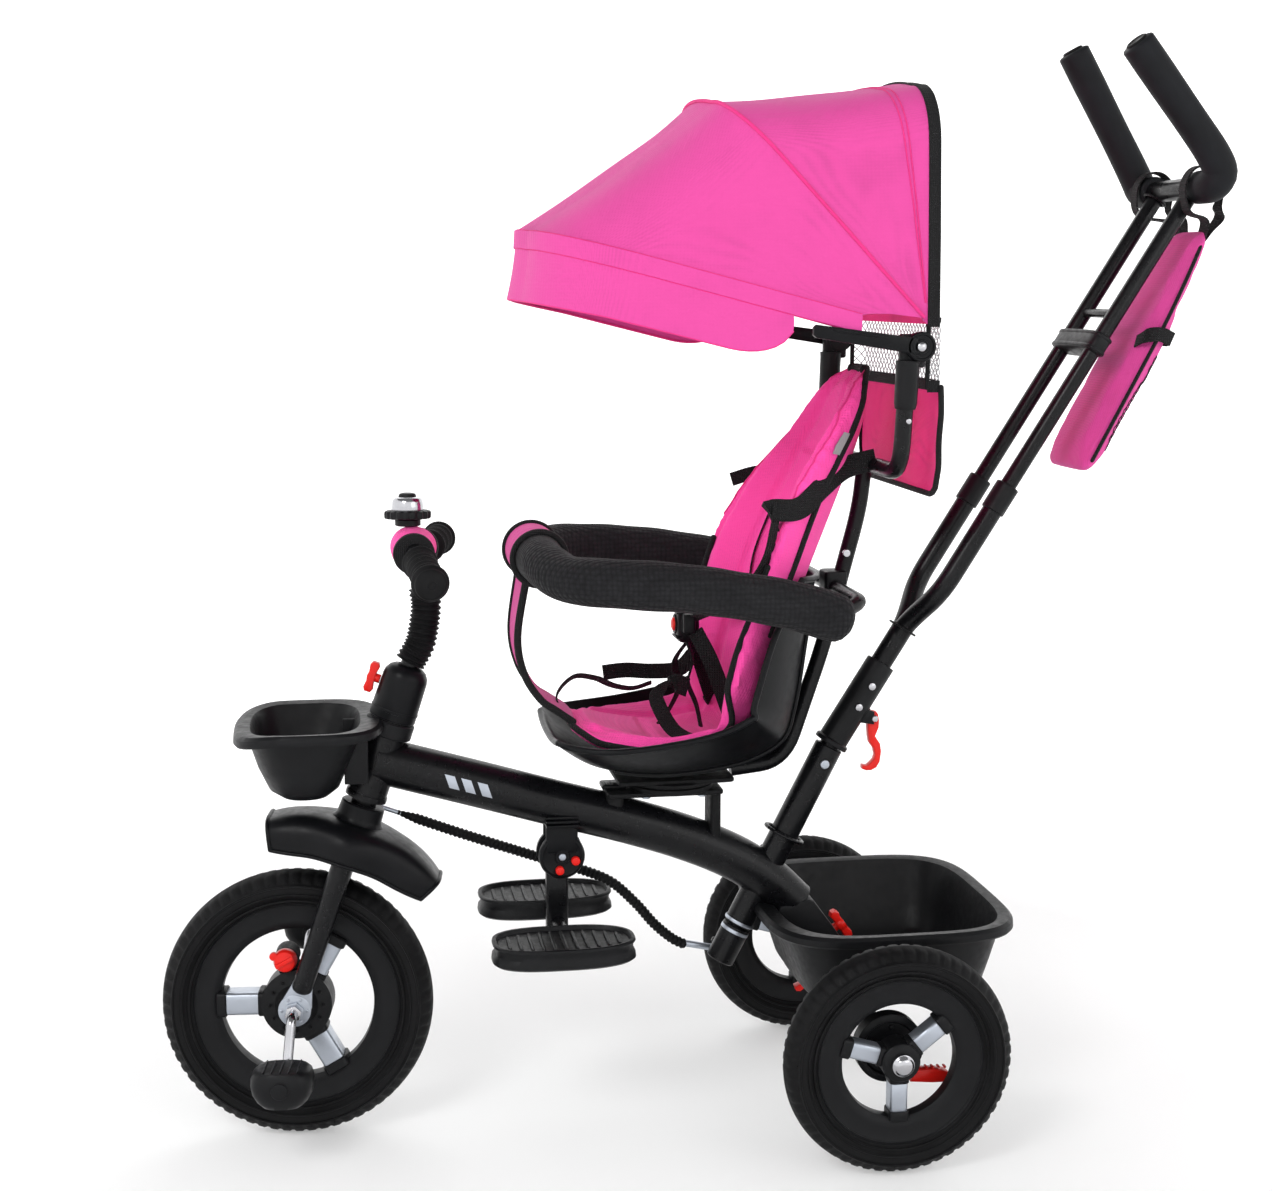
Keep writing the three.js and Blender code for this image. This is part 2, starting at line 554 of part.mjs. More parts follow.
// Outlines in X and Z; the right lever also has a toe tab in front, to lift it off.
const BRAKE_LEVERS = {
  left: [[-30, 98], [-68, 94], [-72, 80], [-24, 84]],
  right: [[-30, 98], [-68, 94], [-72, 80], [-24, 80], [10, 58], [16, 68], [-8, 77]],
};
for (const [name, side] of [["left", 1], ["right", -1]]) {
  const wheel = new THREE.Group();
  wheel.position.set(0, side * HALF_TRACK, REAR.radius);
  trike.add(wheel);
  add(wheel, `rear_tyre_${name}`, turnedY(tyreProfile(REAR), REAR.segments), RUBBER);
  add(wheel, `rear_rim_${name}`, wheelCore(REAR, [17, 142, 270], 6.5), PLASTIC);
  const [y0, y1] = side > 0 ? [170, 184] : [-184, -170];
  add(trike, `brake_pedal_${name}`, sidePlate(BRAKE_LEVERS[name], y0, y1), RED);
}

// ---------------------------------------------------------------- seat
const seat = new THREE.Group();
trike.add(seat);
function seatPlate() {
  const ring = rod(V(SEAT_AXIS_X, 0, 386), V(SEAT_AXIS_X, 0, 392), 50, { sides: 24 });
  return join(ring, box(142, 274, -45, 45, 391, 396));
}
add(seat, "seat_plate", seatPlate(), GREY_BLACK);

// A trough: stations run from the front lip over the seat to the top; side edges rise along a normal.
function trough(stations, thickness, columns = 9) {
  const grid = (inset) =>
    stations.map(({ x, z, lean, half, rise, power = 2.6 }) => {
      const a = THREE.MathUtils.degToRad(lean);
      const normal = V(Math.sin(a), 0, Math.cos(a));
      return Array.from({ length: columns }, (_, j) => {
        const s = (2 * j) / (columns - 1) - 1;
        const swing = Math.min(inset, half) * Math.sign(s) * Math.abs(s) ** 4;
        return V(x, half * s - swing, z).addScaledVector(normal, rise * Math.abs(s) ** power + inset);
      });
    });
  return slab(grid(0), grid(thickness));
}

const shellStations = [
  { x: 348, z: 447, lean: -20, half: 84, rise: 6 },
  { x: 336, z: 434, lean: -12, half: 108, rise: 18 },
  { x: 300, z: 413, lean: -6, half: 128, rise: 38 },
  { x: 240, z: 400, lean: 0, half: 134, rise: 56 },
  { x: 180, z: 401, lean: 2, half: 136, rise: 66 },
  { x: 125, z: 411, lean: 18, half: 136, rise: 74 },
  { x: 84, z: 436, lean: 50, half: 134, rise: 74 },
  { x: 67, z: 480, lean: 74, half: 131, rise: 76 },
  { x: 57, z: 560, lean: 82, half: 126, rise: 62 },
  { x: 50, z: 622, lean: 80, half: 112, rise: 36 },
];
add(seat, "seat_shell", trough(shellStations, 4), PLASTIC);

const cushionStations = [
  { x: 330, z: 461, lean: -14, half: 50, rise: 3 },
  { x: 300, z: 440, lean: -6, half: 84, rise: 8 },
  { x: 240, z: 424, lean: 0, half: 106, rise: 16 },
  { x: 190, z: 420, lean: 6, half: 112, rise: 28 },
  { x: 143, z: 431, lean: 28, half: 112, rise: 38 },
  { x: 116, z: 466, lean: 56, half: 112, rise: 52 },
  { x: 96, z: 530, lean: 70, half: 116, rise: 58 },
  { x: 64, z: 620, lean: 67, half: 118, rise: 62 },
  { x: 32, z: 700, lean: 66, half: 108, rise: 62 },
  { x: 4, z: 775, lean: 66, half: 86, rise: 38 },
  { x: -10, z: 828, lean: 66, half: 60, rise: 20 },
  { x: -17, z: 850, lean: 66, half: 34, rise: 8 },
];
add(seat, "seat_cushion", trough(cushionStations, 20), PINK);

const backTubePath = bentPath([
  V(139, 0, 396), V(76, 0, 403), V(30, 0, 540), V(12, 0, 615), V(-8, 0, 690), V(-13, 0, 738),
], 34);
const hoopPath = bentPath([
  V(-14, 153, 858), V(-8, 153, 745), V(-8, -153, 745), V(-14, -153, 858),
], 34);
function seatBackFrame() {
  const guardBar = bentPath([V(42, 135, 598), V(22, 118, 604), V(22, -118, 604), V(42, -135, 598)], 14);
  const sockets = [1, -1].map((side) =>
    join(
      rod(V(-12, side * CANOPY_HINGE.y, 812), V(-14, side * CANOPY_HINGE.y, 862), 12),
      box(-32, -4, side * CANOPY_HINGE.y - 6.5, side * CANOPY_HINGE.y + 6.5, 855, 890),
    ),
  );
  return join(
    tube(backTubePath, 9, { steps: 14 }), tube(hoopPath, 9, { steps: 16 }),
    tube(guardBar, 8, { steps: 10 }), ...sockets,
  );
}
add(seat, "seat_back_frame", seatBackFrame(), STEEL_BLACK);

const GUARD = { x: 360, z: 648, radius: 26 };
function crotchPad() {
  const sleeve = rod(V(GUARD.x, -46, GUARD.z), V(GUARD.x, 46, GUARD.z), 30, { sides: 16 });
  const line = smoothPath([V(376, 0, 630), V(386, 0, 562), V(379, 0, 520), V(362, 0, 492), V(346, 0, 480)]);
  const grid = (inset) =>
    line.getSpacedPoints(8).map((p, i) => {
      const half = 44 - 5 * Math.sin((Math.PI * i) / 8);
      return [1, 0.5, 0, -0.5, -1].map((s) => V(p.x + inset, half * s, p.z + inset * 0.3));
    });
  return join(sleeve, slab(grid(0), grid(-7)));
}
add(seat, "crotch_pad", crotchPad(), PINK);

const BUCKLE = { front: 203, button: 8, z: 565, travel: 3 };
function harnessBuckle() {
  const body = stack([
    { x0: 180, x1: 200, half: 14, z: 545 }, { x0: 177, x1: BUCKLE.front, half: 18, z: 556 },
    { x0: 177, x1: BUCKLE.front, half: 18, z: 574 }, { x0: 181, x1: 199, half: 13, z: 584 },
  ], 16);
  const pocket = rod(V(BUCKLE.front - 8, 0, BUCKLE.z), V(BUCKLE.front + 5, 0, BUCKLE.z), BUCKLE.button + 0.6);
  return cut(body, pocket);
}
add(seat, "harness_buckle", harnessBuckle(), PLASTIC);
const buttonFoot = V(BUCKLE.front - 8 + BUCKLE.travel + 0.5, 0, BUCKLE.z);
add(seat, "buckle_button", rod(buttonFoot, V(BUCKLE.front + 4, 0, BUCKLE.z), BUCKLE.button), RED);

add(seat, "rear_pocket", box(-60, -50, -146, 146, 719, 906), PINK);

// ---------------------------------------------------------------- bumper guard
for (const [name, side] of [["left", 1], ["right", -1]]) {
  const path = smoothPath([
    V(64, side * 168, 596), V(120, side * 172, 613), V(215, side * 170, 630), V(296, side * 158, 636),
    V(338, side * 128, 637), V(355, side * 92, 644), V(GUARD.x, side * 66, GUARD.z),
    V(GUARD.x, side * 49, GUARD.z),
  ]);
  const nose = new THREE.SphereGeometry(GUARD.radius - 0.5, 12, 6).translate(66, side * 168, 596.5);
  add(seat, `guard_arm_${name}`, join(tube(path, GUARD.radius, { sides: 12, steps: 11 }), nose), FOAM);
}

// ---------------------------------------------------------------- canopy
// Three shells nested like a fan about the hinge axis; each goes over the one behind it.
const OUTLINE = [[8, 398], [16, 396], [24, 380], [40, 340], [51, 332], [66, 302], [85, 271], [100, 255]];
function canopyReach(degrees) {
  const next = OUTLINE.findIndex(([a]) => a >= degrees);
  const [[a0, r0], [a1, r1]] = [OUTLINE[Math.max(0, next - 1)], OUTLINE[next]];
  return a1 === a0 ? r1 : r0 + ((r1 - r0) * (degrees - a0)) / (a1 - a0);
}
const SHEET = 2.5;
function canopyShell(from, to, half, shrink, rows = 4) {
  const grid = (inset) =>
    Array.from({ length: rows }, (_, i) => {
      const degrees = from + ((to - from) * i) / (rows - 1);
      const a = THREE.MathUtils.degToRad(degrees);
      const reach = canopyReach(degrees) - shrink - inset;
      const w = half - inset;
      const corner = Math.max(60, 60 + (50 - degrees) * 2.2) - inset; // rounder towards the front
      const section = [[40, w], [110, w]];
      for (let k = 0; k <= 4; k++) {
        const t = (Math.PI / 2) * (k / 4);
        section.push([reach - corner + corner * Math.sin(t), w - corner + corner * Math.cos(t)]);
      }
      const mirrored = [...section, ...section.map(([r, y]) => [r, -y]).reverse()];
      return mirrored.map(([r, y]) =>
        V(CANOPY_HINGE.x + r * Math.cos(a), y, CANOPY_HINGE.z + r * Math.sin(a)));
    });
  return slab(grid(0), grid(SHEET));
}
add(seat, "canopy_rear", canopyShell(71, 93, 156, 12), PINK);
add(seat, "canopy_middle", canopyShell(42.5, 70.5, 160.5, 7), PINK);
function canopyFront() {
  const visor = slab(...[0, SHEET].map((inset) =>
    Array.from({ length: 4 }, (_, i) => {
      const drop = i / 3;
      return Array.from({ length: 11 }, (_, j) => {
        const a = Math.PI * (j / 10 - 0.5);
        const back = Math.cos(a) ** 0.35;
        const x = 115 + (238 - inset + 28 * drop) * back;
        const y = (163 - inset) * Math.sin(a) * (1 - 0.03 * drop);
        const hem = CANOPY_HINGE.z + (x - CANOPY_HINGE.x) * 0.262;
        return V(x, y, hem - 4 - 52 * drop * back);
      });
    }),
  ));
  const arms = [1, -1].map((side) => {
    const [y0, y1] = side > 0 ? [161.2, 169] : [-169, -161.2];
    return join(
      rod(V(CANOPY_HINGE.x, y0, CANOPY_HINGE.z), V(CANOPY_HINGE.x, y1, CANOPY_HINGE.z), 15.5, { sides: 20 }),
      sidePlate([[-20, 869], [90, 886], [90, 900], [-20, 885]], y0, y1),
    );
  });
  return join(canopyShell(13, 42, 165, 1, 5), visor, ...arms);
}
add(seat, "canopy_front", canopyFront(), PINK);

// ---------------------------------------------------------------- push bar
function pushShaft() {
  const shaft = rod(onPush(-131), onPush(SOCKET.high + 34), 11.5);
  const foot = rod(onPush(-133), onPush(SOCKET.low - 1.5), SOCKET.radius);
  return join(shaft, foot, linkArm(onPush(-122), pushAxis, onPush(-122, -LINK_RADIUS), 3.6));
}
add(trike, "push_shaft", pushShaft(), STEEL_BLACK);

const barDirection = V(-Math.sin(BAR_TILT), 0, Math.cos(BAR_TILT));
const barFoot = onPush(SOCKET.high);
const onBar = (d, y = 0, back = 0) =>
  V(-back * Math.cos(BAR_TILT), y, -back * Math.sin(BAR_TILT)).addScaledVector(barDirection, d).add(barFoot);
const COLLAR = 356; // top of the lower twin tubes, along the bar
const LEVER = onBar(54, 0, 26); // the clamp lever's pivot
function pushLower() {
  const twins = [1, -1].map((side) => {
    const path = bentPath([onBar(140), onBar(168, side * 4), onBar(215, side * BAR_SPACING),
      onBar(COLLAR, side * BAR_SPACING)], 22);
    const collar = rod(onBar(COLLAR - 34, side * BAR_SPACING), onBar(COLLAR, side * BAR_SPACING), 13.5);
    return join(tube(path, 11.5, { steps: 10 }), collar);
  });
  const sleeve = rod(onBar(2.6), onBar(112), 17, { sides: 16 });
  const rim = rod(onBar(2.6), onBar(8), 20, { sides: 16 });
  const stem = rod(onBar(100), onBar(162), 12.5);
  const lugs = [[6, 10], [-10, -6]].map(([y0, y1]) =>
    sidePlate([[LEVER.x, LEVER.z - 7], [LEVER.x + 24, LEVER.z - 3], [LEVER.x + 16, LEVER.z + 14],
      [LEVER.x, LEVER.z + 8]], y0, y1));
  const bores = [1, -1].map((side) =>
    rod(onBar(228, side * BAR_SPACING), onBar(COLLAR + 5, side * BAR_SPACING), 9.6));
  const shaftBore = rod(onPush(SOCKET.high - 4), onPush(SOCKET.high + 36), 11.8);
  return cut(join(sleeve, rim, stem, ...twins, ...lugs), ...bores, shaftBore);
}
add(trike, "push_lower", pushLower(), STEEL_BLACK);

function pushLever() {
  const outline = [[6, 4], [0, 7.5], [-6, 4], [-7, -12], [-3, -22], [-10, -38], [-9, -52], [1, -62],
    [12, -60], [12, -55], [2, -53], [-3, -46], [-1, -36], [5, -24], [6, -10]];
  return sidePlate(outline.map(([x, z]) => [LEVER.x + x, LEVER.z + z]), -5.5, 5.5);
}
add(trike, "push_lever", pushLever(), RED);

const BAR_TOP = 743; // crossbar, along the bar
function pushUpper() {
  const twins = [1, -1].map((side) =>
    rod(onBar(COLLAR - 34, side * BAR_SPACING), onBar(BAR_TOP, side * BAR_SPACING), 9.2));
  const crossbar = rod(onBar(BAR_TOP, -58), onBar(BAR_TOP, 58), 12);
  const tie = rod(onBar(580, -BAR_SPACING), onBar(580, BAR_SPACING), 5);
  const clip = new THREE.BoxGeometry(27, 2 * BAR_SPACING + 26, 24).rotateY(-BAR_TILT)
    .translate(...onBar(541).toArray());
  return join(crossbar, tie, clip, ...twins);
}
add(trike, "push_upper", pushUpper(), STEEL_BLACK);
for (const [name, side] of [["left", 1], ["right", -1]]) {
  const from = (x, y, z) => onBar(BAR_TOP, side * (58.4 + y)).add(V(x, 0, z));
  const top = side > 0 ? from(98, 46, 146) : from(86, 46, 160); // each grip is set on its own
  const path = bentPath([from(0, 0, 0), from(0, 36, 0), from(side > 0 ? -8 : 6, 40, 18), top], 24);
  add(trike, `push_grip_${name}`, tube(path, 18.5, { sides: 12, steps: 12 }), FOAM);
}

const bagTop = V(-396, 0, 1004);
const bagFoot = V(-252, 0, 733);
function pushBag() {
  const length = bagTop.distanceTo(bagFoot);
  const tilt = Math.atan2(bagFoot.x - bagTop.x, bagTop.z - bagFoot.z);
  const bag = stack([
    { x0: -8, x1: 8, half: 56, z: -length / 2 }, { x0: -13, x1: 13, half: 61, z: -length / 2 + 14 },
    { x0: -12, x1: 12, half: 61, z: length / 3 }, { x0: -6, x1: 6, half: 52, z: length / 2 },
  ], 20);
  return bag.rotateY(-tilt).translate(...bagTop.clone().lerp(bagFoot, 0.5).toArray());
}
add(trike, "push_bag", pushBag(), PINK);

// ---------------------------------------------------------------- steering link
const frontEye = onHead(230, 0, -LINK_RADIUS);
const rearEye = onPush(-130.5, -LINK_RADIUS);
function steeringRod() {
  const y = -LINK_RADIUS;
  const sleeve = tube(smoothPath([
    V(514, y, 352), V(440, y, 323), V(355, y, 292), V(301, y, 273), V(269, y, 257), V(241, y, 230),
    V(221, y, 206), V(200, y, 187), V(184, y, 178),
  ]), 6.3, { sides: 8, steps: 16 });
  const nose = rod(V(508, y, 349.6), frontEye, 2.6, { sides: 8 });
  const tail = rod(V(190, y, 181), rearEye, 4, { sides: 8 });
  const eye = (at, axis) =>
    rod(at.clone().addScaledVector(axis, -2.5), at.clone().addScaledVector(axis, 2.5), 7);
  const pin = rod(rearEye, rearEye.clone().addScaledVector(pushAxis, 13), 3);
  return join(sleeve, nose, tail, eye(frontEye, steerAxis), eye(rearEye, pushAxis), pin);
}
add(trike, "steering_rod", steeringRod(), RUBBER);

// ---------------------------------------------------------------- origin
trike.updateMatrixWorld(true);
const extent = new THREE.Box3().setFromObject(trike, true);
const middle = extent.getCenter(new THREE.Vector3());
trike.position.set(-middle.x, -middle.y, -extent.min.z);

export default trike;
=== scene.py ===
# Children's push tricycle: the finished surfaces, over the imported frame.
# The shapes are drawn in millimetres from the floor under the rear axle (X forward, Y to the
# rider's left, Z up) and turned into the frame's metres as each piece is made.
import math
import bmesh
import bpy
from mathutils import Matrix, Vector
from mathutils.geometry import intersect_point_line


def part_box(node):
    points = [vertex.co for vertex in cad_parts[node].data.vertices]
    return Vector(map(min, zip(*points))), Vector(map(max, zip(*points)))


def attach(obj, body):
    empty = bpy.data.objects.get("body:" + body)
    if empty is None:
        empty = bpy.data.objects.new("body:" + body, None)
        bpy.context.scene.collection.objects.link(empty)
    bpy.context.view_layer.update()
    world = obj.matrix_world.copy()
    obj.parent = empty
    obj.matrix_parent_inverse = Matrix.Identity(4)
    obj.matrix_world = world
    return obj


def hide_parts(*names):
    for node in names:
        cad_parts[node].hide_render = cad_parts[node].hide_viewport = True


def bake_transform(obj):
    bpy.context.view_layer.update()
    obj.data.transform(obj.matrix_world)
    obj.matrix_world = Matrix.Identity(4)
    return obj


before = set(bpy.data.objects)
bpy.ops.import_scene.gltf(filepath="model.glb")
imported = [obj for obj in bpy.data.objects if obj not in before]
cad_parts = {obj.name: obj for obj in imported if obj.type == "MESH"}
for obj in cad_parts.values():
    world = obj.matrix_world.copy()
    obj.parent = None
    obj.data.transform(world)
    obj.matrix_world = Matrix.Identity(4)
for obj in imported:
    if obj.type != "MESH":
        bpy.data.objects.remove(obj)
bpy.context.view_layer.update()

axle_low, axle_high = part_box("rear_axle")
DATUM = Matrix.Translation(((axle_low[0] + axle_high[0]) / 2, 0, 0)) @ Matrix.Scale(0.001, 4)
PI = math.pi


def V(x, y, z):
    return Vector((x, y, z))


# ---------------------------------------------------------------- driving dimensions
FRONT_RADIUS, FRONT_WIDTH, REAR_RADIUS, REAR_WIDTH = 150, 47, 125, 42
WHEELBASE, HALF_TRACK, LEG_Y = 630, 213, 40
RAKE, STEER = math.radians(19), math.radians(-7)
SOCKET_TILT, BAR_TILT = math.radians(27), math.radians(32.2)
SEAT_AXIS_X = 208
HINGE = V(-24, 0, 877)  # canopy
FOOT_HINGE = V(334, 0, 306)
GUARD = V(360, 0, 648)
BAR_SPACING, BAR_COLLAR, BAR_TOP = 45, 356, 743
LINK_Y = -34

STEER_AXIS = V(-math.sin(RAKE), 0, math.cos(RAKE))
STEER_FORWARD = V(math.cos(RAKE), 0, math.sin(RAKE))
LEAN = math.asin(math.sin(RAKE) * math.sin(-STEER))
FRONT_AXLE = V(WHEELBASE, 0, FRONT_RADIUS * math.cos(LEAN) + FRONT_WIDTH * 0.2 * math.sin(LEAN))
STEERED = Matrix.Translation(FRONT_AXLE) @ Matrix.Rotation(STEER, 4, STEER_AXIS)
PUSH_AXIS = V(-math.sin(SOCKET_TILT), 0, math.cos(SOCKET_TILT))
PUSH_FOOT = V(89, 0, 288)
BAR_AXIS = V(-math.sin(BAR_TILT), 0, math.cos(BAR_TILT))
BAR_FOOT = PUSH_FOOT + PUSH_AXIS * 146
LEFT_RIGHT = (("left", 1), ("right", -1))


def on_steer(s, forward=0, y=0):
    return STEER_AXIS * s + STEER_FORWARD * forward + V(0, y, 0)


def on_head(s, forward=0, y=0):
    return FRONT_AXLE + on_steer(s, forward, y)


def on_push(t, y=0):
    return PUSH_FOOT + PUSH_AXIS * t + V(0, y, 0)


def on_bar(d, y=0, back=0):
    return BAR_FOOT + BAR_AXIS * d + V(-math.cos(BAR_TILT), 0, -math.sin(BAR_TILT)) * back + V(0, y,
                                                                                               0)


# ---------------------------------------------------------------- curves
def smooth(points, steps=8):
    """A Catmull-Rom curve through the points."""
    points = [Vector(p) for p in points]
    run = [points[0] * 2 - points[1], *points, points[-1] * 2 - points[-2]]
    curve = []
    for a, b, c, d in zip(run, run[1:], run[2:], run[3:]):
        for i in range(steps):
            t = i / steps
            curve.append(0.5 * (2 * b + (c - a) * t + (2 * a - 5 * b + 4 * c - d) * t ** 2
                                + (3 * b - a - 3 * c + d) * t ** 3))
    return curve + [points[-1]]


def bent(points, bend, steps=7):
    """Straight runs with each inner corner rounded off over the bend length."""
    points = [Vector(p) for p in points]
    path = [points[0]]
    for before, corner, after in zip(points, points[1:], points[2:]):
        enter, leave = [corner.lerp(p, min(0.45, bend / (p - corner).length))
                        for p in (before, after)]
        for i in range(steps + 1):
            t = i / steps
            path.append(enter * (1 - t) ** 2 + corner * 2 * t * (1 - t) + leave * t ** 2)
    return path + [points[-1]]


def resampled(path, count, step=None):
    """The same path in count even parts, or in parts about a step long."""
    lengths = [0.0]
    for a, b in zip(path, path[1:]):
        lengths.append(lengths[-1] + (b - a).length)
    if step:
        count = max(2, round(lengths[-1] / step))
    result, k = [], 0
    for i in range(count + 1):
        d = lengths[-1] * i / count
        while k < len(path) - 2 and lengths[k + 1] < d:
            k += 1
        span = lengths[k + 1] - lengths[k] or 1
        result.append(path[k].lerp(path[k + 1], (d - lengths[k]) / span))
    return result


def spaced(path, step):
    return resampled(path, None, step)


def carried_frames(path, across=None):
    """A pair of directions square to the path at each point, carried along without twist."""
    tangents = [(path[min(i + 1, len(path) - 1)] - path[max(i - 1, 0)]).normalized()
                for i in range(len(path))]
    side = Vector(across) if across else tangents[0].orthogonal()
    frames = []
    for t in tangents:
        side = Vector(across) if across else side
        side = (side - t * side.dot(t)).normalized()
        frames.append((side, t.cross(side)))
    return frames


def round_points(count, radius=1, start=0):
    """Points evenly round a circle."""
    return [(radius * math.cos(a), radius * math.sin(a))
            for a in (2 * PI * k / count + start for k in range(count))]


def softened(low, high, edge):
    """(height, inset) stations that round off a solid's two rims."""
    return [(low, edge), (low + edge * 0.3, edge * 0.3), (low + edge, 0),
            (high - edge, 0), (high - edge * 0.3, edge * 0.3), (high, edge)]


def superellipse(rx, ry, power, count):
    """An outline between an ellipse (power 2) and a rectangle (a high power)."""
    def swell(v):
        return math.copysign(abs(v) ** (2 / power), v)
    angles = [2 * PI * (i + 0.5) / count for i in range(count)]
    return [(rx * swell(math.cos(a)), ry * swell(math.sin(a))) for a in angles]


def wave_noise(p, size):
    """A soft repeatable ripple in space, from -1 to 1."""
    a, b, c = p.x / size, p.y / size, p.z / size
    return (math.sin(a + 1.7 * math.sin(b * 0.8 + 0.4))
            + math.sin(b * 1.3 + 1.1 * math.sin(c * 0.9))
            + math.sin(c * 1.2 + a * 0.6 + 2.1)) / 3


# ---------------------------------------------------------------- building a piece
class Shape:
    """Surfaces in millimetres, gathered into one piece. Each face keeps its material's number."""

    def __init__(self, local=None):
        self.local = local or Matrix.Identity(4)
        self.points, self.faces, self.slots = [], [], []

    def add(self, points, faces, slot=0):
        base = len(self.points)
        self.points += [self.local @ Vector(p) for p in points]
        self.faces += [[base + i for i in f] for f in faces]
        self.slots += [slot] * len(faces)

    def grid(self, rows, slot=0, ring=False, loop=False, cap=False):
        """Rows of points; ring closes each row, loop joins the last row to the first."""
        n, m = len(rows), len(rows[0])
        points = [p for row in rows for p in row]
        faces = []
        for i in range(n if loop else n - 1):
            for j in range(m if ring else m - 1):
                a, b = i * m + j, i * m + (j + 1) % m
                up = ((i + 1) % n) * m
                faces.append([a, b, up + (j + 1) % m, up + j])
        if cap:
            faces += [list(range(m))[::-1], [(n - 1) * m + j for j in range(m)]]
        self.add(points, faces, slot)

    def sheet(self, rows, thickness):
        """A closed sheet: the rows' surface and a second one behind it, joined round the rim."""
        n, m = len(rows), len(rows[0])
        normals = []
        for i in range(n):
            for j in range(m):
                u = rows[min(i + 1, n - 1)][j] - rows[max(i - 1, 0)][j]
                v = rows[i][min(j + 1, m - 1)] - rows[i][max(j - 1, 0)]
                normals.append(u.cross(v).normalized())
        front = [p for row in rows for p in row]
        back = [p - q * thickness for p, q in zip(front, normals)]
        f, b = lambda i, j: i * m + j, lambda i, j: n * m + i * m + j
        faces = []
        for i in range(n - 1):
            for j in range(m - 1):
                faces.append([f(i, j), f(i, j + 1), f(i + 1, j + 1), f(i + 1, j)])
                faces.append([b(i, j), b(i + 1, j), b(i + 1, j + 1), b(i, j + 1)])
            faces.append([f(i, 0), f(i + 1, 0), b(i + 1, 0), b(i, 0)])
            faces.append([f(i + 1, m - 1), f(i, m - 1), b(i, m - 1), b(i + 1, m - 1)])
        for j in range(m - 1):
            faces.append([f(0, j + 1), f(0, j), b(0, j), b(0, j + 1)])
            faces.append([f(n - 1, j), f(n - 1, j + 1), b(n - 1, j + 1), b(n - 1, j)])
        self.add(front + back, faces)

    def tube(self, path, radius, slot=0, sides=24, dome=0.0):
        """A round tube; radius is a number or radius(t), and dome rounds the two ends."""
        path = list(path)
        size = radius if callable(radius) else lambda t: radius
        frames = carried_frames(path)
        stations = [(p, frames[i], size(i / (len(path) - 1))) for i, p in enumerate(path)]
        if dome:
            head = (path[0] - path[1]).normalized()
            tail = (path[-1] - path[-2]).normalized()
            front = [(path[0] + head * dome * math.sin(a), frames[0], size(0) * math.cos(a))
                     for a in (1.5, 1.25, 0.95, 0.6, 0.3)]
            back = [(path[-1] + tail * dome * math.sin(a), frames[-1], size(1) * math.cos(a))
                    for a in (0.3, 0.6, 0.95, 1.25, 1.5)]
            stations = front + stations + back
        ring = round_points(sides)
        rows = [[p + (u * c + v * s) * r for c, s in ring] for p, (u, v), r in stations]
        self.grid(rows, slot, ring=True, cap=True)

    def turned(self, profile, centre, axis, slot=0, sides=48):
        """A profile of (radius, height) turned about an axis; closed if it ends where it began."""
        axis = Vector(axis).normalized()
        u = axis.orthogonal().normalized()
        v = axis.cross(u)
        closed = profile[0] == profile[-1]
        rows = []
        for r, h in profile[:-1] if closed else profile:
            rows.append([Vector(centre) + axis * h
                         + (u * math.cos(a) + v * math.sin(a)) * max(r, 0.01)
                         for a in (2 * PI * k / sides for k in range(sides))])
        self.grid(rows, slot, ring=True, loop=closed)

    def rod(self, start, end, radius, end_radius=None, slot=0, sides=40, edge=0.8):
        """A cylinder or cone with softly rounded rims."""
        end_radius = radius if end_radius is None else end_radius
        start, end = Vector(start), Vector(end)
        length = (end - start).length
        low = [(radius - edge * (1 - math.sin(a)), edge * (1 - math.cos(a)))
               for a in (0, PI / 6, PI / 3, PI / 2)]
        high = [(end_radius - edge * (1 - math.cos(a)), length - edge * (1 - math.sin(a)))
                for a in (0, PI / 6, PI / 3, PI / 2)]
        profile = [(0, 0), *low, *high, (0, length)]
        self.turned(profile, start, end - start, slot, sides)

    def plate(self, outline, y0, y1, slot=0, local=None, edge=0.9):
        """An outline in X and Z given thickness along Y, its edges softened."""
        turn = local or Matrix.Identity(4)
        area = sum(a[0] * b[1] - b[0] * a[1] for a, b in zip(outline, outline[1:] + outline[:1]))
        way = 1 if area > 0 else -1
        n = len(outline)

        def inset(d):
            points = []
            for i in range(n):
                a, b, c = (Vector((*outline[(i + k) % n], 0)) for k in (-1, 0, 1))
                e, f = (b - a).normalized(), (c - b).normalized()
                ne, nf = V(-e.y, e.x, 0) * way, V(-f.y, f.x, 0) * way
                points.append(b + (ne + nf) * (d / max(0.5, 1 + ne.dot(nf))))
            return points
        rows = [[turn @ V(p.x, y, p.y) for p in inset(d)] for y, d in softened(y0, y1, edge)]
        self.grid(rows, slot, ring=True, cap=True)

    def block(self, low, high, slot=0, corner=3.0, count=40, local=None):
        """A box with rounded corners and rims, stacked up in Z."""
        turn = local or Matrix.Identity(4)
        (x0, y0, z0), (x1, y1, z1) = low, high
        rx, ry = (x1 - x0) / 2, (y1 - y0) / 2
        power = max(3.0, 2.2 * min(rx, ry) / corner)
        edge = min(corner, (z1 - z0) / 2) * 0.6
        rows = []
        for z, d in softened(z0, z1, edge):
            rows.append([turn @ V((x0 + x1) / 2 + a, (y0 + y1) / 2 + b, z)
                         for a, b in superellipse(rx - d, ry - d, power, count)])
        self.grid(rows, slot, ring=True, cap=True)

    def stack(self, levels, count):
        """Level outlines (x0, x1, half, z, power) joined upwards."""
        rows = []
        for x0, x1, half, z, power in levels:
            rows.append([V((x0 + x1) / 2 + a, b, z)
                         for a, b in superellipse((x1 - x0) / 2, half, power, count)])
        self.grid(rows, ring=True, cap=True)

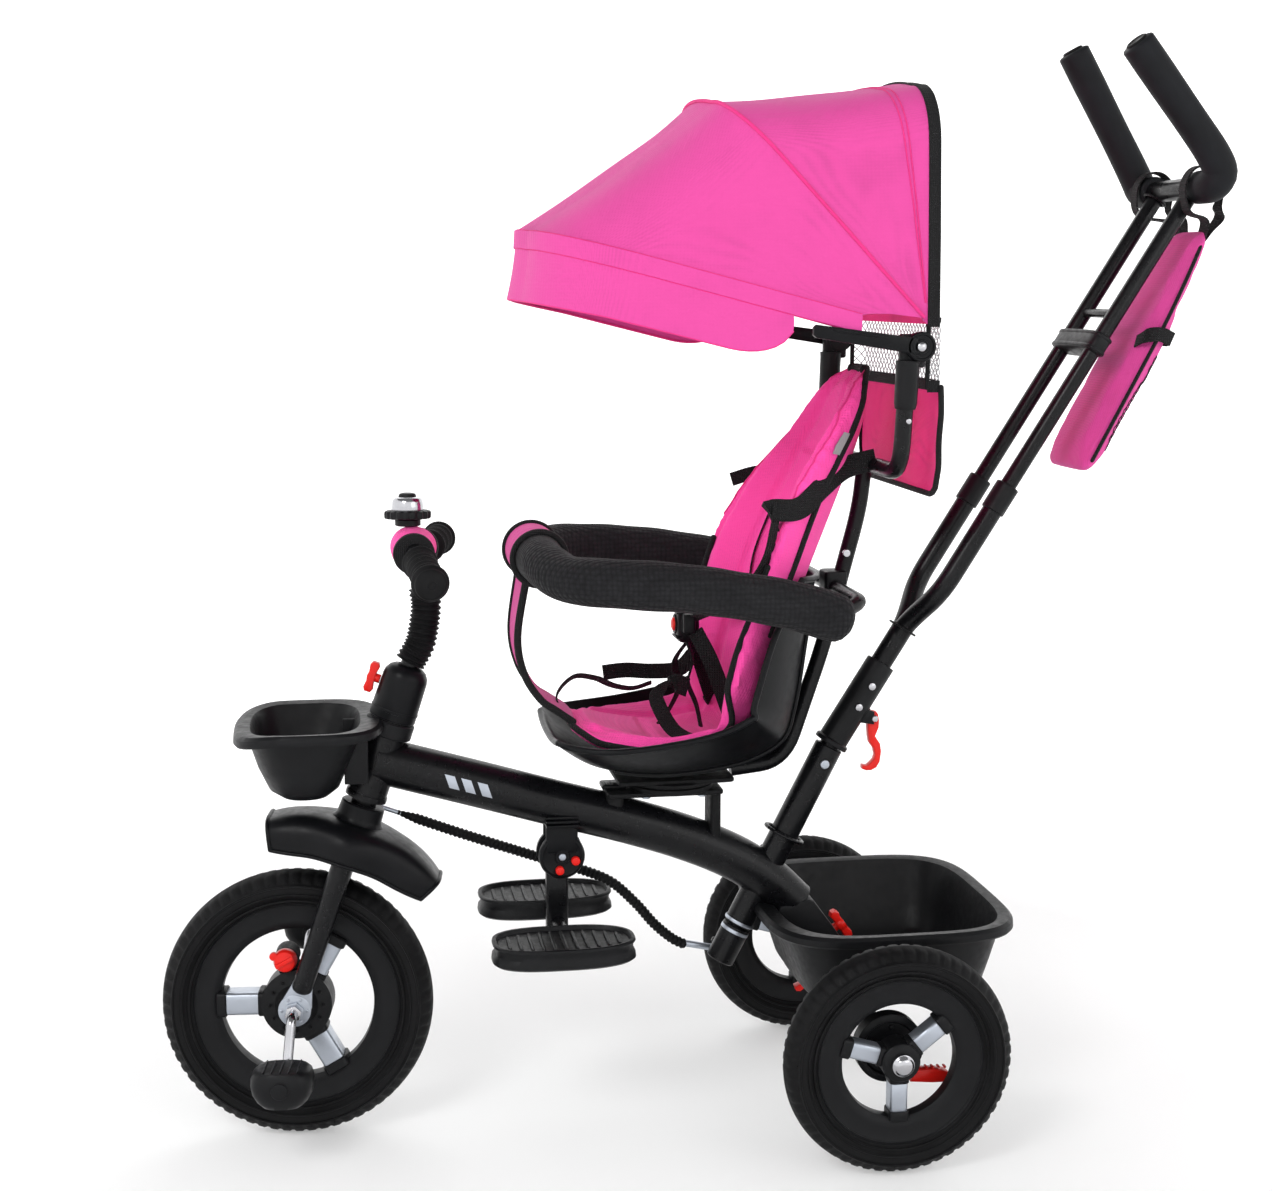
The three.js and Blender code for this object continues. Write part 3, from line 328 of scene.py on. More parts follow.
    def ribbon(self, path, width, thick=1.6, slot=0, across=(0, 1, 0), step=4.0):
        """A flat strap along a path, wide in the across direction, with thicker edges."""
        h, t = width / 2, thick / 2
        section = [(-h, -t * 0.6), (-h + 1.2, -t * 1.25), (-h + 2.6, -t), (h - 2.6, -t),
                   (h - 1.2, -t * 1.25), (h, -t * 0.6), (h, t * 0.6), (h - 1.2, t * 1.25),
                   (h - 2.6, t), (-h + 2.6, t), (-h + 1.2, t * 1.25), (-h, t * 0.6)]
        path = spaced(path, step)
        rows = [[p + u * a + v * b for a, b in section]
                for p, (u, v) in zip(path, carried_frames(path, across))]
        self.grid(rows, slot, ring=True, cap=True)

    def make(self, name, body, materials, replaces=(), sharp=38):
        """The finished object, in metres, on its body; edges over sharp degrees stay crisp."""
        mesh = bpy.data.meshes.new(name)
        mesh.from_pydata([DATUM @ p for p in self.points], [], self.faces)
        for material in materials:
            mesh.materials.append(material)
        for polygon, number in zip(mesh.polygons, self.slots):
            polygon.material_index = number
        tidy = bmesh.new()
        tidy.from_mesh(mesh)
        bmesh.ops.recalc_face_normals(tidy, faces=tidy.faces)
        tidy.to_mesh(mesh)
        tidy.free()
        mesh.shade_smooth()
        mesh.set_sharp_from_angle(angle=math.radians(sharp))
        piece = bpy.data.objects.new(name, mesh)
        bpy.context.scene.collection.objects.link(piece)
        if body:
            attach(piece, body)
        if replaces:
            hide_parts(*replaces)
        return piece


# ---------------------------------------------------------------- materials
def set_inputs(node, *pairs):
    for socket, value in pairs:
        node.inputs[socket].default_value = value


def nodes_of(name):
    material = bpy.data.materials.new(name)
    material.use_nodes = True
    tree = material.node_tree
    return material, tree.nodes, tree.links, tree.nodes["Principled BSDF"]


def blotches(nodes, links, coords, scale, detail):
    """Cloudy noise over the object, from 0 to 1."""
    noise = nodes.new("ShaderNodeTexNoise")
    set_inputs(noise, ("Scale", scale), ("Detail", detail))
    links.new(coords.outputs["Object"], noise.inputs["Vector"])
    return noise.outputs["Fac"]


def ranged(nodes, links, value, low, high):
    """The noise's usual spread, stretched to run from low to high."""
    span = nodes.new("ShaderNodeMapRange")
    set_inputs(span, ("From Min", 0.3), ("From Max", 0.7), ("To Min", low), ("To Max", high))
    links.new(value, span.inputs["Value"])
    return span.outputs["Result"]


def summed(nodes, links, values):
    total = values[0]
    for value in values[1:]:
        add = nodes.new("ShaderNodeMath")
        add.operation = "ADD"
        links.new(total, add.inputs[0])
        links.new(value, add.inputs[1])
        total = add.outputs[0]
    return total


def bands(nodes, links, coords, direction, period):
    """Even sine bands along one axis, period in metres."""
    wave = nodes.new("ShaderNodeTexWave")
    wave.wave_type, wave.bands_direction, wave.wave_profile = "BANDS", direction, "SIN"
    wave.inputs["Scale"].default_value = 0.314 / period
    wave.inputs["Distortion"].default_value = 0.0
    links.new(coords.outputs["Object"], wave.inputs["Vector"])
    return wave.outputs["Fac"]


def bumped(nodes, links, height, strength, distance, under=None):
    bump = nodes.new("ShaderNodeBump")
    bump.inputs["Strength"].default_value = strength
    bump.inputs["Distance"].default_value = distance
    links.new(height, bump.inputs["Height"])
    if under:
        links.new(under, bump.inputs["Normal"])
    return bump.outputs["Normal"]


def coloured(nodes, links, factor, dark, light, shader):
    mix = nodes.new("ShaderNodeMix")
    mix.data_type = "RGBA"
    links.new(factor, mix.inputs["Factor"])
    mix.inputs["A"].default_value = (*dark, 1)
    mix.inputs["B"].default_value = (*light, 1)
    links.new(mix.outputs["Result"], shader.inputs["Base Color"])
    return mix


def moulded(name, colour, roughness=0.42, grain=0.12, metal=0.0, coat=0.0, tone=0.18,
            grain_size=1100, gloss=0.15):
    """Moulded plastic, paint or metal: slow tone changes, marks in the gloss, fine grain."""
    material, nodes, links, shader = nodes_of(name)
    coords = nodes.new("ShaderNodeTexCoord")
    slow = blotches(nodes, links, coords, 22, 4)
    marks = blotches(nodes, links, coords, 130, 6)
    dark, light = [tuple(c * k for c in colour) for k in (1 - tone, 1 + tone)]
    coloured(nodes, links, ranged(nodes, links, slow, 0, 1), dark, light, shader)
    rough = ranged(nodes, links, marks, roughness * 0.82, min(1, roughness * 1.22))
    links.new(rough, shader.inputs["Roughness"])
    set_inputs(shader, ("Metallic", metal), ("Coat Weight", coat),
               ("Specular IOR Level", 0.5 if metal else gloss))
    fine = blotches(nodes, links, coords, grain_size, 2)
    links.new(bumped(nodes, links, fine, grain, 0.0004), shader.inputs["Normal"])
    return material


def woven(name, colour, period=0.0014, depth=0.35, sheen=0.08, shade=0.78, roughness=0.82):
    """Plain-weave cloth: threads in three directions, slow dye variation and soft wrinkles."""
    material, nodes, links, shader = nodes_of(name)
    coords = nodes.new("ShaderNodeTexCoord")
    threads = summed(nodes, links, [bands(nodes, links, coords, d, period) for d in "XYZ"])
    slow = blotches(nodes, links, coords, 14, 4)
    weave = nodes.new("ShaderNodeMath")
    weave.operation = "MULTIPLY_ADD"
    links.new(threads, weave.inputs[0])
    weave.inputs[1].default_value = 0.16
    links.new(slow, weave.inputs[2])
    dark = tuple(c * shade for c in colour)
    light = tuple(min(1, c * 1.06) for c in colour)
    coloured(nodes, links, ranged(nodes, links, weave.outputs[0], 0, 1), dark, light, shader)
    set_inputs(shader, ("Roughness", roughness), ("Sheen Weight", sheen),
               ("Sheen Roughness", 0.5), ("Specular IOR Level", 0.25))
    creases = blotches(nodes, links, coords, 34, 5)
    soft = bumped(nodes, links, creases, 0.35, 0.004)
    links.new(bumped(nodes, links, threads, depth, 0.0006, soft), shader.inputs["Normal"])
    return material


def knitted(name, colour, cell=0.0052):
    """Foam sleeve with a knit of small raised cells, with painted highlight on the cell tops and
    painted shade in the grooves between them.
    """
    material, nodes, links, shader = nodes_of(name)
    coords = nodes.new("ShaderNodeTexCoord")
    cells = nodes.new("ShaderNodeTexVoronoi")
    set_inputs(cells, ("Scale", 1 / cell), ("Randomness", 0.25))
    links.new(coords.outputs["Object"], cells.inputs["Vector"])
    # painted highlight and painted shade: cell centres are painted 2.6 times the colour and the
    # grooves between cells 0.45 times, so dark here holds the lighter tone
    dark, light = tuple(c * 2.6 for c in colour), tuple(c * 0.45 for c in colour)
    coloured(nodes, links, cells.outputs["Distance"], dark, light, shader)
    slow = blotches(nodes, links, coords, 20, 3)
    links.new(ranged(nodes, links, slow, 0.78, 0.95), shader.inputs["Roughness"])
    set_inputs(shader, ("Sheen Weight", 0.03), ("Specular IOR Level", 0.18))
    flip = nodes.new("ShaderNodeMath")
    flip.operation = "SUBTRACT"
    flip.inputs[0].default_value = 1.0
    links.new(cells.outputs["Distance"], flip.inputs[1])
    links.new(bumped(nodes, links, flip.outputs[0], 0.9, 0.002), shader.inputs["Normal"])
    return material


def foamed(name, colour):
    """Closed-cell foam or tyre rubber: fine pits under a matt face."""
    material, nodes, links, shader = nodes_of(name)
    coords = nodes.new("ShaderNodeTexCoord")
    pits = blotches(nodes, links, coords, 620, 8)
    slow = blotches(nodes, links, coords, 30, 4)
    dark, light = tuple(c * 0.75 for c in colour), tuple(c * 1.35 for c in colour)
    coloured(nodes, links, ranged(nodes, links, slow, 0, 1), dark, light, shader)
    links.new(ranged(nodes, links, slow, 0.5, 0.66), shader.inputs["Roughness"])
    shader.inputs["Specular IOR Level"].default_value = 0.12
    links.new(bumped(nodes, links, pits, 0.3, 0.0007), shader.inputs["Normal"])
    return material


PINK_COLOUR = (0.60, 0.056, 0.275)
STEEL = moulded("steel_black", (0.0034, 0.0035, 0.0042), 0.3, 0.03, coat=0.06)
PLASTIC = moulded("plastic_black", (0.0052, 0.0054, 0.0062), 0.42, 0.12)
SATIN = moulded("plastic_satin", (0.0040, 0.0042, 0.0050), 0.34, 0.03, gloss=0.115)
MATT = moulded("plastic_matt", (0.0048, 0.0049, 0.0054), 0.6, 0.2)
RUBBER = foamed("rubber_black", (0.0042, 0.0042, 0.0046))
FOAM = foamed("foam_black", (0.0072, 0.0077, 0.0092))
KNIT_PAINTED_SHADE = knitted("foam_knit_painted_shade", (0.0058, 0.0058, 0.0066))
CHROME = moulded("chrome", (0.42, 0.42, 0.44), 0.16, 0.02, metal=1.0, tone=0.12)
SILVER = moulded("silver_paint", (0.38, 0.41, 0.46), 0.34, 0.08, metal=0.85, tone=0.08)
RED = moulded("red_plastic", (0.66, 0.012, 0.008), 0.34, 0.08, coat=0.15, tone=0.1)
PINK = woven("cloth_pink", PINK_COLOUR)
PINK_DEEP = woven("cloth_pink_deep", (0.96, 0.022, 0.24), shade=0.7)
PINK_PADDED = woven("cloth_pink_padded", (0.90, 0.068, 0.36), period=0.0017, depth=0.45)
BINDING = woven("binding_black", (0.0062, 0.0062, 0.0068), period=0.0021, depth=0.7, sheen=0.02)
WEBBING = woven("webbing_black", (0.0058, 0.0058, 0.0064), period=0.0026, depth=0.9, sheen=0.02)
NET = woven("net_white", (0.40, 0.40, 0.41), period=0.0009, depth=0.3, sheen=0.05)
LABEL = woven("label_grey", (0.30, 0.30, 0.31), period=0.0012, depth=0.3, sheen=0.05)
THREAD = woven("thread_pink", (0.72, 0.03, 0.22), period=0.0008, depth=0.5)


# ---------------------------------------------------------------- frame
MAIN_PATH = smooth([V(540, 0, 423), V(440, 0, 394), V(346, 0, 366), V(260, 0, 341), V(190, 0, 317),
                    V(135, 0, 292), V(95, 0, 265), V(62, 0, 233)])
MAIN_RADIUS = 26


def weld(shape, centre, axis, radius, size=2.2):
    """A bead of weld: a ring with a slight ripple."""
    u = Vector(axis).normalized().orthogonal()
    v = Vector(axis).normalized().cross(u)
    count = 90
    path = [Vector(centre) + (u * math.cos(a) + v * math.sin(a)) * (radius + 0.3 * math.sin(26 * a))
            for a in (2 * PI * k / count for k in range(count + 1))]
    shape.tube(path, size, sides=10)


def main_frame():
    shape = Shape()
    shape.tube(MAIN_PATH, MAIN_RADIUS, sides=48)
    bore = [(17, 0), (21, 0), (22, 1.2), (22, 91.8), (21, 93), (17, 93), (17, 0)]
    shape.turned(bore, on_head(243), STEER_AXIS, sides=56)
    for s in (243, 330):
        shape.turned([(17, s - 243), (23.2, s - 243), (23.4, s - 240), (23.2, s - 237),
                      (17, s - 237), (17, s - 243)], on_head(243), STEER_AXIS, sides=56)
    socket = [(12.6, 0), (15.6, 0), (16.4, 1), (16.4, 231), (15.6, 232), (12.6, 232), (12.6, 0)]
    shape.turned(socket, on_push(-86), PUSH_AXIS, sides=44)
    shape.turned([(12.6, 0), (17.4, 0), (17.8, 1.5), (17.4, 3.5), (12.6, 3.5), (12.6, 0)],
                 on_push(-84), PUSH_AXIS, 1, 44)
    weld(shape, on_push(32), PUSH_AXIS, 16.8)
    shape.rod(on_push(126, 15), on_push(126, 18.6), 5.2, slot=1, sides=24)
    shape.make("main_frame_tube", "frame", [STEEL, SILVER], ["main_frame"])
    decal()


def decal():
    """Three plain slanted bars on each side of the main tube."""
    radius = MAIN_RADIUS + 0.25
    for name, side in LEFT_RIGHT:
        shape = Shape()
        for start in (458, 440, 422):
            rows = []
            for i in range(7):
                angle = math.radians(-13 + 30 * i / 6)
                row = []
                for t in (0, 0.5, 1):
                    x = start - 11 * t + 9 * (i / 6)
                    middle = V(x, 0, 423 - (540 - x) * 0.294)
                    lift = V(-0.285, 0, 0.958) * (radius * math.sin(angle))
                    row.append(middle + lift + V(0, side * radius * math.cos(angle), 0))
                rows.append(row)
            shape.sheet(rows, 0.12)
        shape.make("tube_bars_" + name, "frame", [SILVER])


def rear_frame():
    shape = Shape()
    neck = bent([V(65.5, 0, 236.5), V(40, 0, 203), V(14, 0, 166), V(0, 0, REAR_RADIUS)], 12)
    shape.tube(neck, 16, sides=36)
    shape.rod((0, -172, REAR_RADIUS), (0, 172, REAR_RADIUS), 13)
    weld(shape, (6, 0, 143), (0.35, 0, 0.94), 15.6)
    for _, side in LEFT_RIGHT:
        drum = [(6.5, 0), (20, 0), (22, 3), (34, 3.5), (36, 0.8), (38, 1.8), (38, 17), (36.5, 18),
                (30, 18), (28, 14.5), (14, 14.5), (12, 18), (6.5, 18), (6.5, 0)]
        shape.turned(drum, (0, side * 168, REAR_RADIUS), (0, side, 0), 1, 60)
        for x, z in round_points(5, 23, 0.4):
            spot = V(x, 0, REAR_RADIUS + z)
            shape.rod(spot + V(0, side * 182, 0), spot + V(0, side * 185.2, 0), 2.6, slot=1,
                      sides=16)
    shape.make("rear_frame_tube", "frame", [STEEL, PLASTIC], ["rear_frame"])


def rear_axle():
    face = HALF_TRACK + REAR_WIDTH / 2
    shape = Shape()
    shape.rod((0, -face - 1, REAR_RADIUS), (0, face + 1, REAR_RADIUS), 6, sides=24)
    for _, side in LEFT_RIGHT:
        cap = [(0.01, 7), (4, 6.8), (7.4, 6), (9.4, 4.4), (10.6, 2), (12, 1.2), (12, 0), (0.01, 0)]
        shape.turned(cap, (0, side * (face + 0.5), REAR_RADIUS), (0, side, 0), sides=48)
    shape.make("axle_and_caps", "frame", [CHROME], ["rear_axle"])


def seat_mount():
    shape = Shape()
    ring = [(30, 0), (46, 0), (48, 1.4), (48, 6.1), (46, 7.5), (30, 7.5), (30, 0)]
    shape.turned(ring, (SEAT_AXIS_X, 0, 378), (0, 0, 1), sides=72)
    shape.block((152, -32, 374), (284, 32, 379.5), corner=4)
    shape.block((264, -20, 349), (284, 20, 376), corner=4)
    shape.block((152, -20, 318), (165, 20, 376), corner=3)
    for x in (176, 240):
        for y in (-24, 24):
            shape.rod((x, y, 371.5), (x, y, 374.5), 5, slot=1, sides=6)
    shape.make("seat_bracket_plate", "frame", [MATT, SILVER], ["seat_bracket"])
    latch = Shape()
    latch.block((259.5, -14, 380.2), (288, 14, 385.2), corner=4)
    for k in range(4):
        latch.block((275 + 3 * k, -11, 384.9), (276.6 + 3 * k, 11, 385.4), corner=0.6)
    latch.make("swivel_latch_tab", "swivel_latch", [SATIN], ["swivel_latch"])
    upper = Shape()
    upper.turned([(30, 0), (48, 0), (50, 1.4), (50, 4.6), (48, 6), (30, 6), (30, 0)],
                 (SEAT_AXIS_X, 0, 386), (0, 0, 1), sides=72)
    upper.block((142, -45, 391), (274, 45, 396), corner=6)
    for x, y in round_points(28, 46):
        upper.rod((SEAT_AXIS_X + x, y, 385.9), (SEAT_AXIS_X + x, y, 388), 1.6, sides=10)
    upper.make("seat_plate_ring", "seat", [MATT], ["seat_plate"])


# ---------------------------------------------------------------- tubs
def front_basket():
    """A rounded tub with a thick rolled rim that dips at the front."""
    shape = Shape()
    levels = [(598, 630, 32, 388.6, 2.3), (588, 644, 46, 391, 2.4), (578, 656, 60, 400, 2.5),
              (567, 667, 73, 426, 2.7), (557, 674, 82, 452, 3), (553, 677, 85, 460, 3.3),
              (545, 684, 90, 461.5, 3.3), (534, 690, 95, 461.2, 3.4), (531, 692, 96, 464, 3.4),
              (531.5, 691.5, 95.6, 470, 3.4), (535, 688, 93, 473, 3.4), (545, 681, 87, 472.6, 3.3),
              (555, 674, 81.5, 471, 3.3), (558, 671, 80, 466, 3.3), (570, 665, 70, 429, 2.7),
              (581, 654, 58, 405, 2.5), (590, 642, 44, 396, 2.4), (600, 628, 30, 393, 2.3)]
    shape.stack(levels, count=96)
    shape.points = [p - V(0, 0,
                          9) * max(0, (p.x - 640) / 52) ** 2 * max(0, min(1, (p.z - 400) / 60))
                    for p in shape.points]
    shape.turned([(22.4, 0), (26, 0), (27, 1.2), (27, 15.8), (26, 17), (22.4, 17), (22.4, 0)],
                 on_head(318), STEER_AXIS, sides=48)
    for y in (-34, 34):
        shape.block((548, y - 2, 404), (574, y + 2, 462), corner=1.5)
    shape.make("basket_tub", "frame", [PLASTIC], ["basket"])


def rear_bucket():
    """A deep tub with a thick rim; a sloping tunnel inside clears the frame's neck."""
    shape = Shape()
    levels = [(-118, 46, 88, 146.3, 4.4), (-134, 62, 106, 147.5, 4.8), (-142, 69, 114, 156, 4.8),
              (-150, 79, 127, 186, 4.4), (-158, 90, 139, 217, 4.1), (-160, 92, 142, 225, 4),
              (-164, 99, 147, 227, 4), (-172, 110, 154.5, 226.6, 4), (-174, 112, 156, 229, 4),
              (-173.6, 111.6, 155.6, 235.5, 4), (-170, 108, 152.4, 239, 4),
              (-163, 98, 145, 238.8, 4), (-158, 90, 140, 237.4, 4), (-156.5, 88, 138, 232, 4),
              (-147, 76, 124, 188, 4.4), (-139, 66, 112, 160, 4.8), (-132, 58, 103, 151.6, 4.8),
              (-116, 44, 86, 150.6, 4.4)]
    shape.stack(levels, count=120)
    tunnel = [(66, 151), (90, 222), (84, 237), (50, 244), (44, 242), (22, 212), (0, 180),
              (-26, 151)]
    shape.plate(tunnel, -26, 26, edge=3)
    shape.make("bucket_tub", "frame", [PLASTIC], ["bucket"])
    knob = Shape()
    seat, axis = V(15, 0, 198.5), V(-0.817, 0, 0.577)
    knob.rod(seat + axis * 1, seat + axis * 8, 5.5, 4.6, sides=28)
    knob.turned([(0.01, 0), (8, 0), (9, 1.5), (9, 7), (7.5, 9.5), (0.01, 10)], seat + axis * 6.5,
                axis, sides=36)
    wing = Matrix.Translation(seat + axis * 11) @ Matrix.Rotation(math.atan2(axis.x, axis.z), 4,
                                                                  "Y")
    outline = [(-19, -1), (-18, 4), (-14, 6), (-8, 4.4), (8, 4.4), (14, 6), (18, 4), (19, -1),
               (15, -5), (8, -4), (-8, -4), (-15, -5)]
    knob.plate(outline, -7, 7, local=wing, edge=2)
    knob.make("bucket_knob_red", "bucket_knob", [RED], ["bucket_knob"])


# ---------------------------------------------------------------- footrest
def footrest():
    x, z = FOOT_HINGE.x, FOOT_HINGE.z
    bracket = Shape()
    for _, side in LEFT_RIGHT:
        disc = [(4.5, 0), (22, 0), (26, 0.6), (26, 5.5), (24.6, 7.6), (22, 8.2), (20.5, 7.2),
                (9, 7.2), (8, 9), (4.5, 9), (4.5, 0)]
        bracket.turned(disc, (x, side * 9, z), (0, side, 0), sides=64)
        bracket.block((x - 18, min(side * 9, side * 18), z + 4),
                      (x + 18, max(side * 9, side * 18), 347), corner=3)
    for k in range(3):
        bracket.block((x - 19, -27.3, 342 + 5 * k), (x + 19, 27.3, 345 + 5 * k), corner=3)
    bracket.make("footrest_bracket_discs", "frame", [SATIN], ["footrest_bracket"])
    post = Shape()
    post.rod((x, -8.5, z), (x, 8.5, z), 22)
    post.rod((x, -19.5, z), (x, 19.5, z), 4.1, slot=1, sides=24)
    post.block((x - 8, -8.5, z - 90), (x + 17, 8.5, z - 5), corner=4)
    post.rod((x + 4.5, -43.6, z - 82), (x + 4.5, 43.6, z - 82), 9)
    post.make("footrest_post_bar", "footrest", [STEEL, SILVER], ["footrest_post"])
    for name, side in LEFT_RIGHT:
        footrest_tray(name, V(x, side * 88, z))
    for (dx, dz), name in zip(((-15, -5), (3, -15.5)), ("upper", "lower")):
        button = Shape()
        button.turned([(0.01, 0), (4.8, 0), (5, 1), (5, 6.6), (4.4, 8), (2.4, 8.5), (0.01, 8.5)],
                      (x + dx, 13, z + dz), (0, 1, 0), sides=32)
        button.make("footrest_lock_" + name, "footrest_button_" + name, [RED],
                    ["footrest_button_" + name])


def footrest_tray(name, centre):
    """A boat-shaped tray: flared skirt, thick rim, and a recess with grip ribs."""
    shape = Shape(Matrix.Translation(centre))
    levels = [(70, 36, -94), (76, 41, -93.4), (79, 44, -91), (78.4, 43.4, -86), (75.5, 41, -82),
              (76, 41.5, -76), (78.5, 43.6, -72.5), (78, 43, -70.5), (76, 41.4, -69.6),
              (74, 39.4, -70), (72.6, 38.4, -72), (71.6, 37.4, -74.2), (60, 30, -74.4)]
    shape.stack([(8 - long, 8 + long, half, z, 3) for long, half, z in levels], count=88)
    for k in range(11):
        x = -52 + 12 * k
        half = 32 * math.sqrt(max(0.15, 1 - (x - 8) ** 2 / 78 ** 2))
        shape.block((x - 2, -half, -74.6), (x + 2, half, -72.2), corner=1.2, count=24)
    for p in shape.points:
        p.y = centre.y + (p.y - centre.y) * (1 - 0.14 * max(0, (centre.x - p.x) / 70) ** 2)
    shape.make("footrest_tray_%s_ribbed" % name, "footrest", [PLASTIC], ["footrest_tray_" + name])


# ---------------------------------------------------------------- steering group
def link_arm(shape, hub, along, pin):
    """A flat arm from a turning shaft's hub to the pin that the steering rod hooks on."""
    out = (pin - hub).normalized()
    side = out.cross(along)
    turn = Matrix((side, out, along)).transposed().to_4x4()
    turn.translation = hub
    shape.block((-8, 3, -2.5), (8, (pin - hub).length - 3, 2.5), corner=2.5, local=turn)
    shape.rod(pin - along * 2.5, pin + along * 2.5, 8, sides=32)


def fork():
    shape = Shape(STEERED)
    for _, side in LEFT_RIGHT:
        leg = [on_steer(28, 0, side * LEG_Y), on_steer(110, 0, side * LEG_Y),
               on_steer(192, 0, side * LEG_Y)]
        shape.tube(smooth(leg), lambda t: 11.2 + 1.2 * t, sides=36, dome=7)
        low, high = sorted((side * 33, side * 38))
        shape.plate([(-19, 2), (-20, 24), (-17, 40), (-12, 46), (-4, 44), (2, 30), (17, 6),
                     (12, -10), (-12, -10)],
                    low, high, slot=1)
        shape.rod((0, side * 33, 0), (0, side * 38.6, 0), 18, slot=1)
        shape.rod((0, side * 38, 0), (0, side * 43, 0), 11, slot=1, sides=6)
        for x, z in round_points(6, 14):
            shape.rod((x, side * 38, z), (x, side * 39.6, z), 1.9, slot=1, sides=12)
    shape.rod(on_steer(190, 0, -LEG_Y - 8), on_steer(190, 0, LEG_Y + 8), 12)
    shape.rod(on_steer(185), on_steer(372), 14)
    pin = on_steer(239.5, 0, LINK_Y)
    pin.rotate(Matrix.Rotation(-STEER, 3, STEER_AXIS))
    link_arm(shape, on_steer(239.5), STEER_AXIS, pin)
    shape.make("fork_legs", "steering", [STEEL, SILVER], ["fork"])


def fender():
    """A saddle over the tyre, deepest and widest at the fork, cut off blunt at each end."""
    rows, count, across = [], 44, 40
    for i in range(count):
        share = i / (count - 1)
        angle = math.radians(83 + 56 * share)
        bulge = math.exp(-(((share - 0.47) / 0.2) ** 2))
        half = 41 + 17 * bulge
        tip = max(0, abs(share - 0.47) / 0.53 - 0.5) / 0.5
        half *= 1 - 0.2 * tip ** 3
        top = 217 - 5 * tip ** 2
        skirt = 177 + 9 * tip ** 2
        row = []
        for j in range(across):
            a = PI * j / (across - 1)
            y = half * math.copysign(abs(math.cos(a)) ** 0.5, math.cos(a))
            radius = skirt + (top - skirt) * abs(math.sin(a)) ** 0.5
            flare = 1 + 0.035 * abs(math.cos(a)) ** 10
            row.append(V(radius * math.cos(angle), y * flare, radius * math.sin(angle)))
        rows.append(row)
    shape = Shape(STEERED)
    shape.sheet(rows, 2.6)
    for edge in (0, -1):
        shape.tube([row[edge] for row in rows], 2.3, sides=12, dome=2)
    shape.tube(rows[0], 2.2, sides=12, dome=2)
    shape.tube(rows[-1], 2.2, sides=12, dome=2)
    shape.turned([(14.4, 0), (33, 0), (27, 5), (25.2, 10), (24.4, 23), (23, 24.4), (14.4, 24.4),
                  (14.4, 0)],
                 on_steer(212), STEER_AXIS, sides=56)
    shape.make("fender_saddle", "steering", [SATIN], ["fender"])


GOOSENECK = smooth([on_steer(374), on_steer(398), V(-143, 0, 404), V(-149, 0, 440), V(-144, 0, 484),
                    V(-136, 0, 508)])


def bar_end(side):
    return V(-160 - side * 4, side * 168, 494 - side * 9)


def stem():
    cover = Shape(STEERED)
    cover.turned([(14.3, 337), (25.4, 337), (26, 339), (25, 384), (24, 389), (20.5, 394.5),
                  (16, 397.4), (12, 398.4), (11.2, 397), (11.2, 372), (14.3, 372), (14.3, 337)],
                 (0, 0, 0), STEER_AXIS, sides=56)
    cover.turned([(24, 0), (26.3, 0.6), (26.5, 2), (26.3, 3.4), (24, 4), (24, 0)], on_steer(345),
                 STEER_AXIS, sides=56)
    cover.make("stem_cover_shell", "steering", [SATIN], ["stem_cover"])
    screw = Shape(STEERED)
    screw.rod(on_steer(374, 25.5), on_steer(374, 32), 5, sides=28)
    turn = Matrix.Translation(on_steer(374, 35)) @ Matrix.Rotation(-RAKE, 4, "Y")
    lobes = [(-3.4, -17), (3.4, -17), (5.6, -13), (4.6, -5), (5.6, 0), (4.6, 5), (5.6, 13),
             (3.4, 17), (-3.4, 17), (-5.4, 13), (-4, 5), (-4, -5), (-5.4, -13)]
    screw.plate(lobes, -6.2, 6.2, local=turn, edge=2)
    screw.make("stem_screw_red", "stem_screw", [RED], ["stem_screw"])
    bar = Shape(STEERED)
    bar.tube(GOOSENECK, 10, sides=32)
    bar.tube(bent([bar_end(1), V(-147, 80, 500), V(-134, 0, 508), V(-147, -80, 500), bar_end(-1)],
                  30), 11, sides=32)
    bar.make("handlebar_tube", "steering", [STEEL], ["handlebar"])


def bellows():
    line = spaced(smooth([on_steer(403), V(-143, 0, 404), V(-149, 0, 440), V(-147, 0, 462)]), 0.8)
    shape = Shape(STEERED)
    shape.tube(line, lambda t: 15.6 + 1.2 * math.cos(2 * PI * t * 16) + 0.4 * (1 - t), sides=44)
    shape.make("stem_bellows_ribbed", "steering", [RUBBER], ["stem_bellows"])


def grips():
    for name, side in LEFT_RIGHT:
        inner, end = V(-147, side * 80, 500), bar_end(side)
        line = spaced([inner.lerp(end, 0.1), inner.lerp(end, 1.05)], 0.9)

        def size(t):
            outer_flange = 3.4 * math.exp(-(((t - 0.93) / 0.035) ** 2))
            inner_flange = 2.6 * math.exp(-(((t - 0.03) / 0.03) ** 2))
            ribs = 0.75 * math.cos(2 * PI * t * 15) if 0.08 < t < 0.86 else 0
            return 16.4 + ribs + (outer_flange + inner_flange)
        shape = Shape(STEERED)
        shape.tube(line, size, sides=40, dome=5)
        hole = (line[-1] - line[-2]).normalized()
        shape.turned([(2.6, 4.6), (4, 5.6), (5.4, 4.9), (5.6, 3.6), (2.6, 4.6)], line[-1], hole,
                     sides=24)
        shape.make("grip_%s_ribbed" % name, "steering", [RUBBER], ["handlebar_grip_" + name])


def handlebar_pad():
    """A pink sleeve, closed along its back, with a black binding at each end."""
    ends = spaced(smooth([V(-140, 42, 503), V(-134, 0, 508), V(-140, -42, 503)]), 2)
    shape = Shape(STEERED)
    shape.tube(ends, lambda t: 21.4 + 0.9 * math.sin(PI * t) + 0.25 * math.sin(31 * t), sides=48)
    for tip, near in ((0, 3), (-1, -4)):
        shape.tube([ends[tip], ends[near]], 22.4, 1, sides=40, dome=1.6)
    shape.ribbon([V(-158, 34, 499), V(-156.5, 0, 500), V(-158, -34, 499)], 12, 1.4, 1,
                 across=(0.35, 0, 0.94))
    pad = shape.make("handlebar_pad_sleeve", "steering", [PINK_PADDED, BINDING], ["handlebar_pad"])


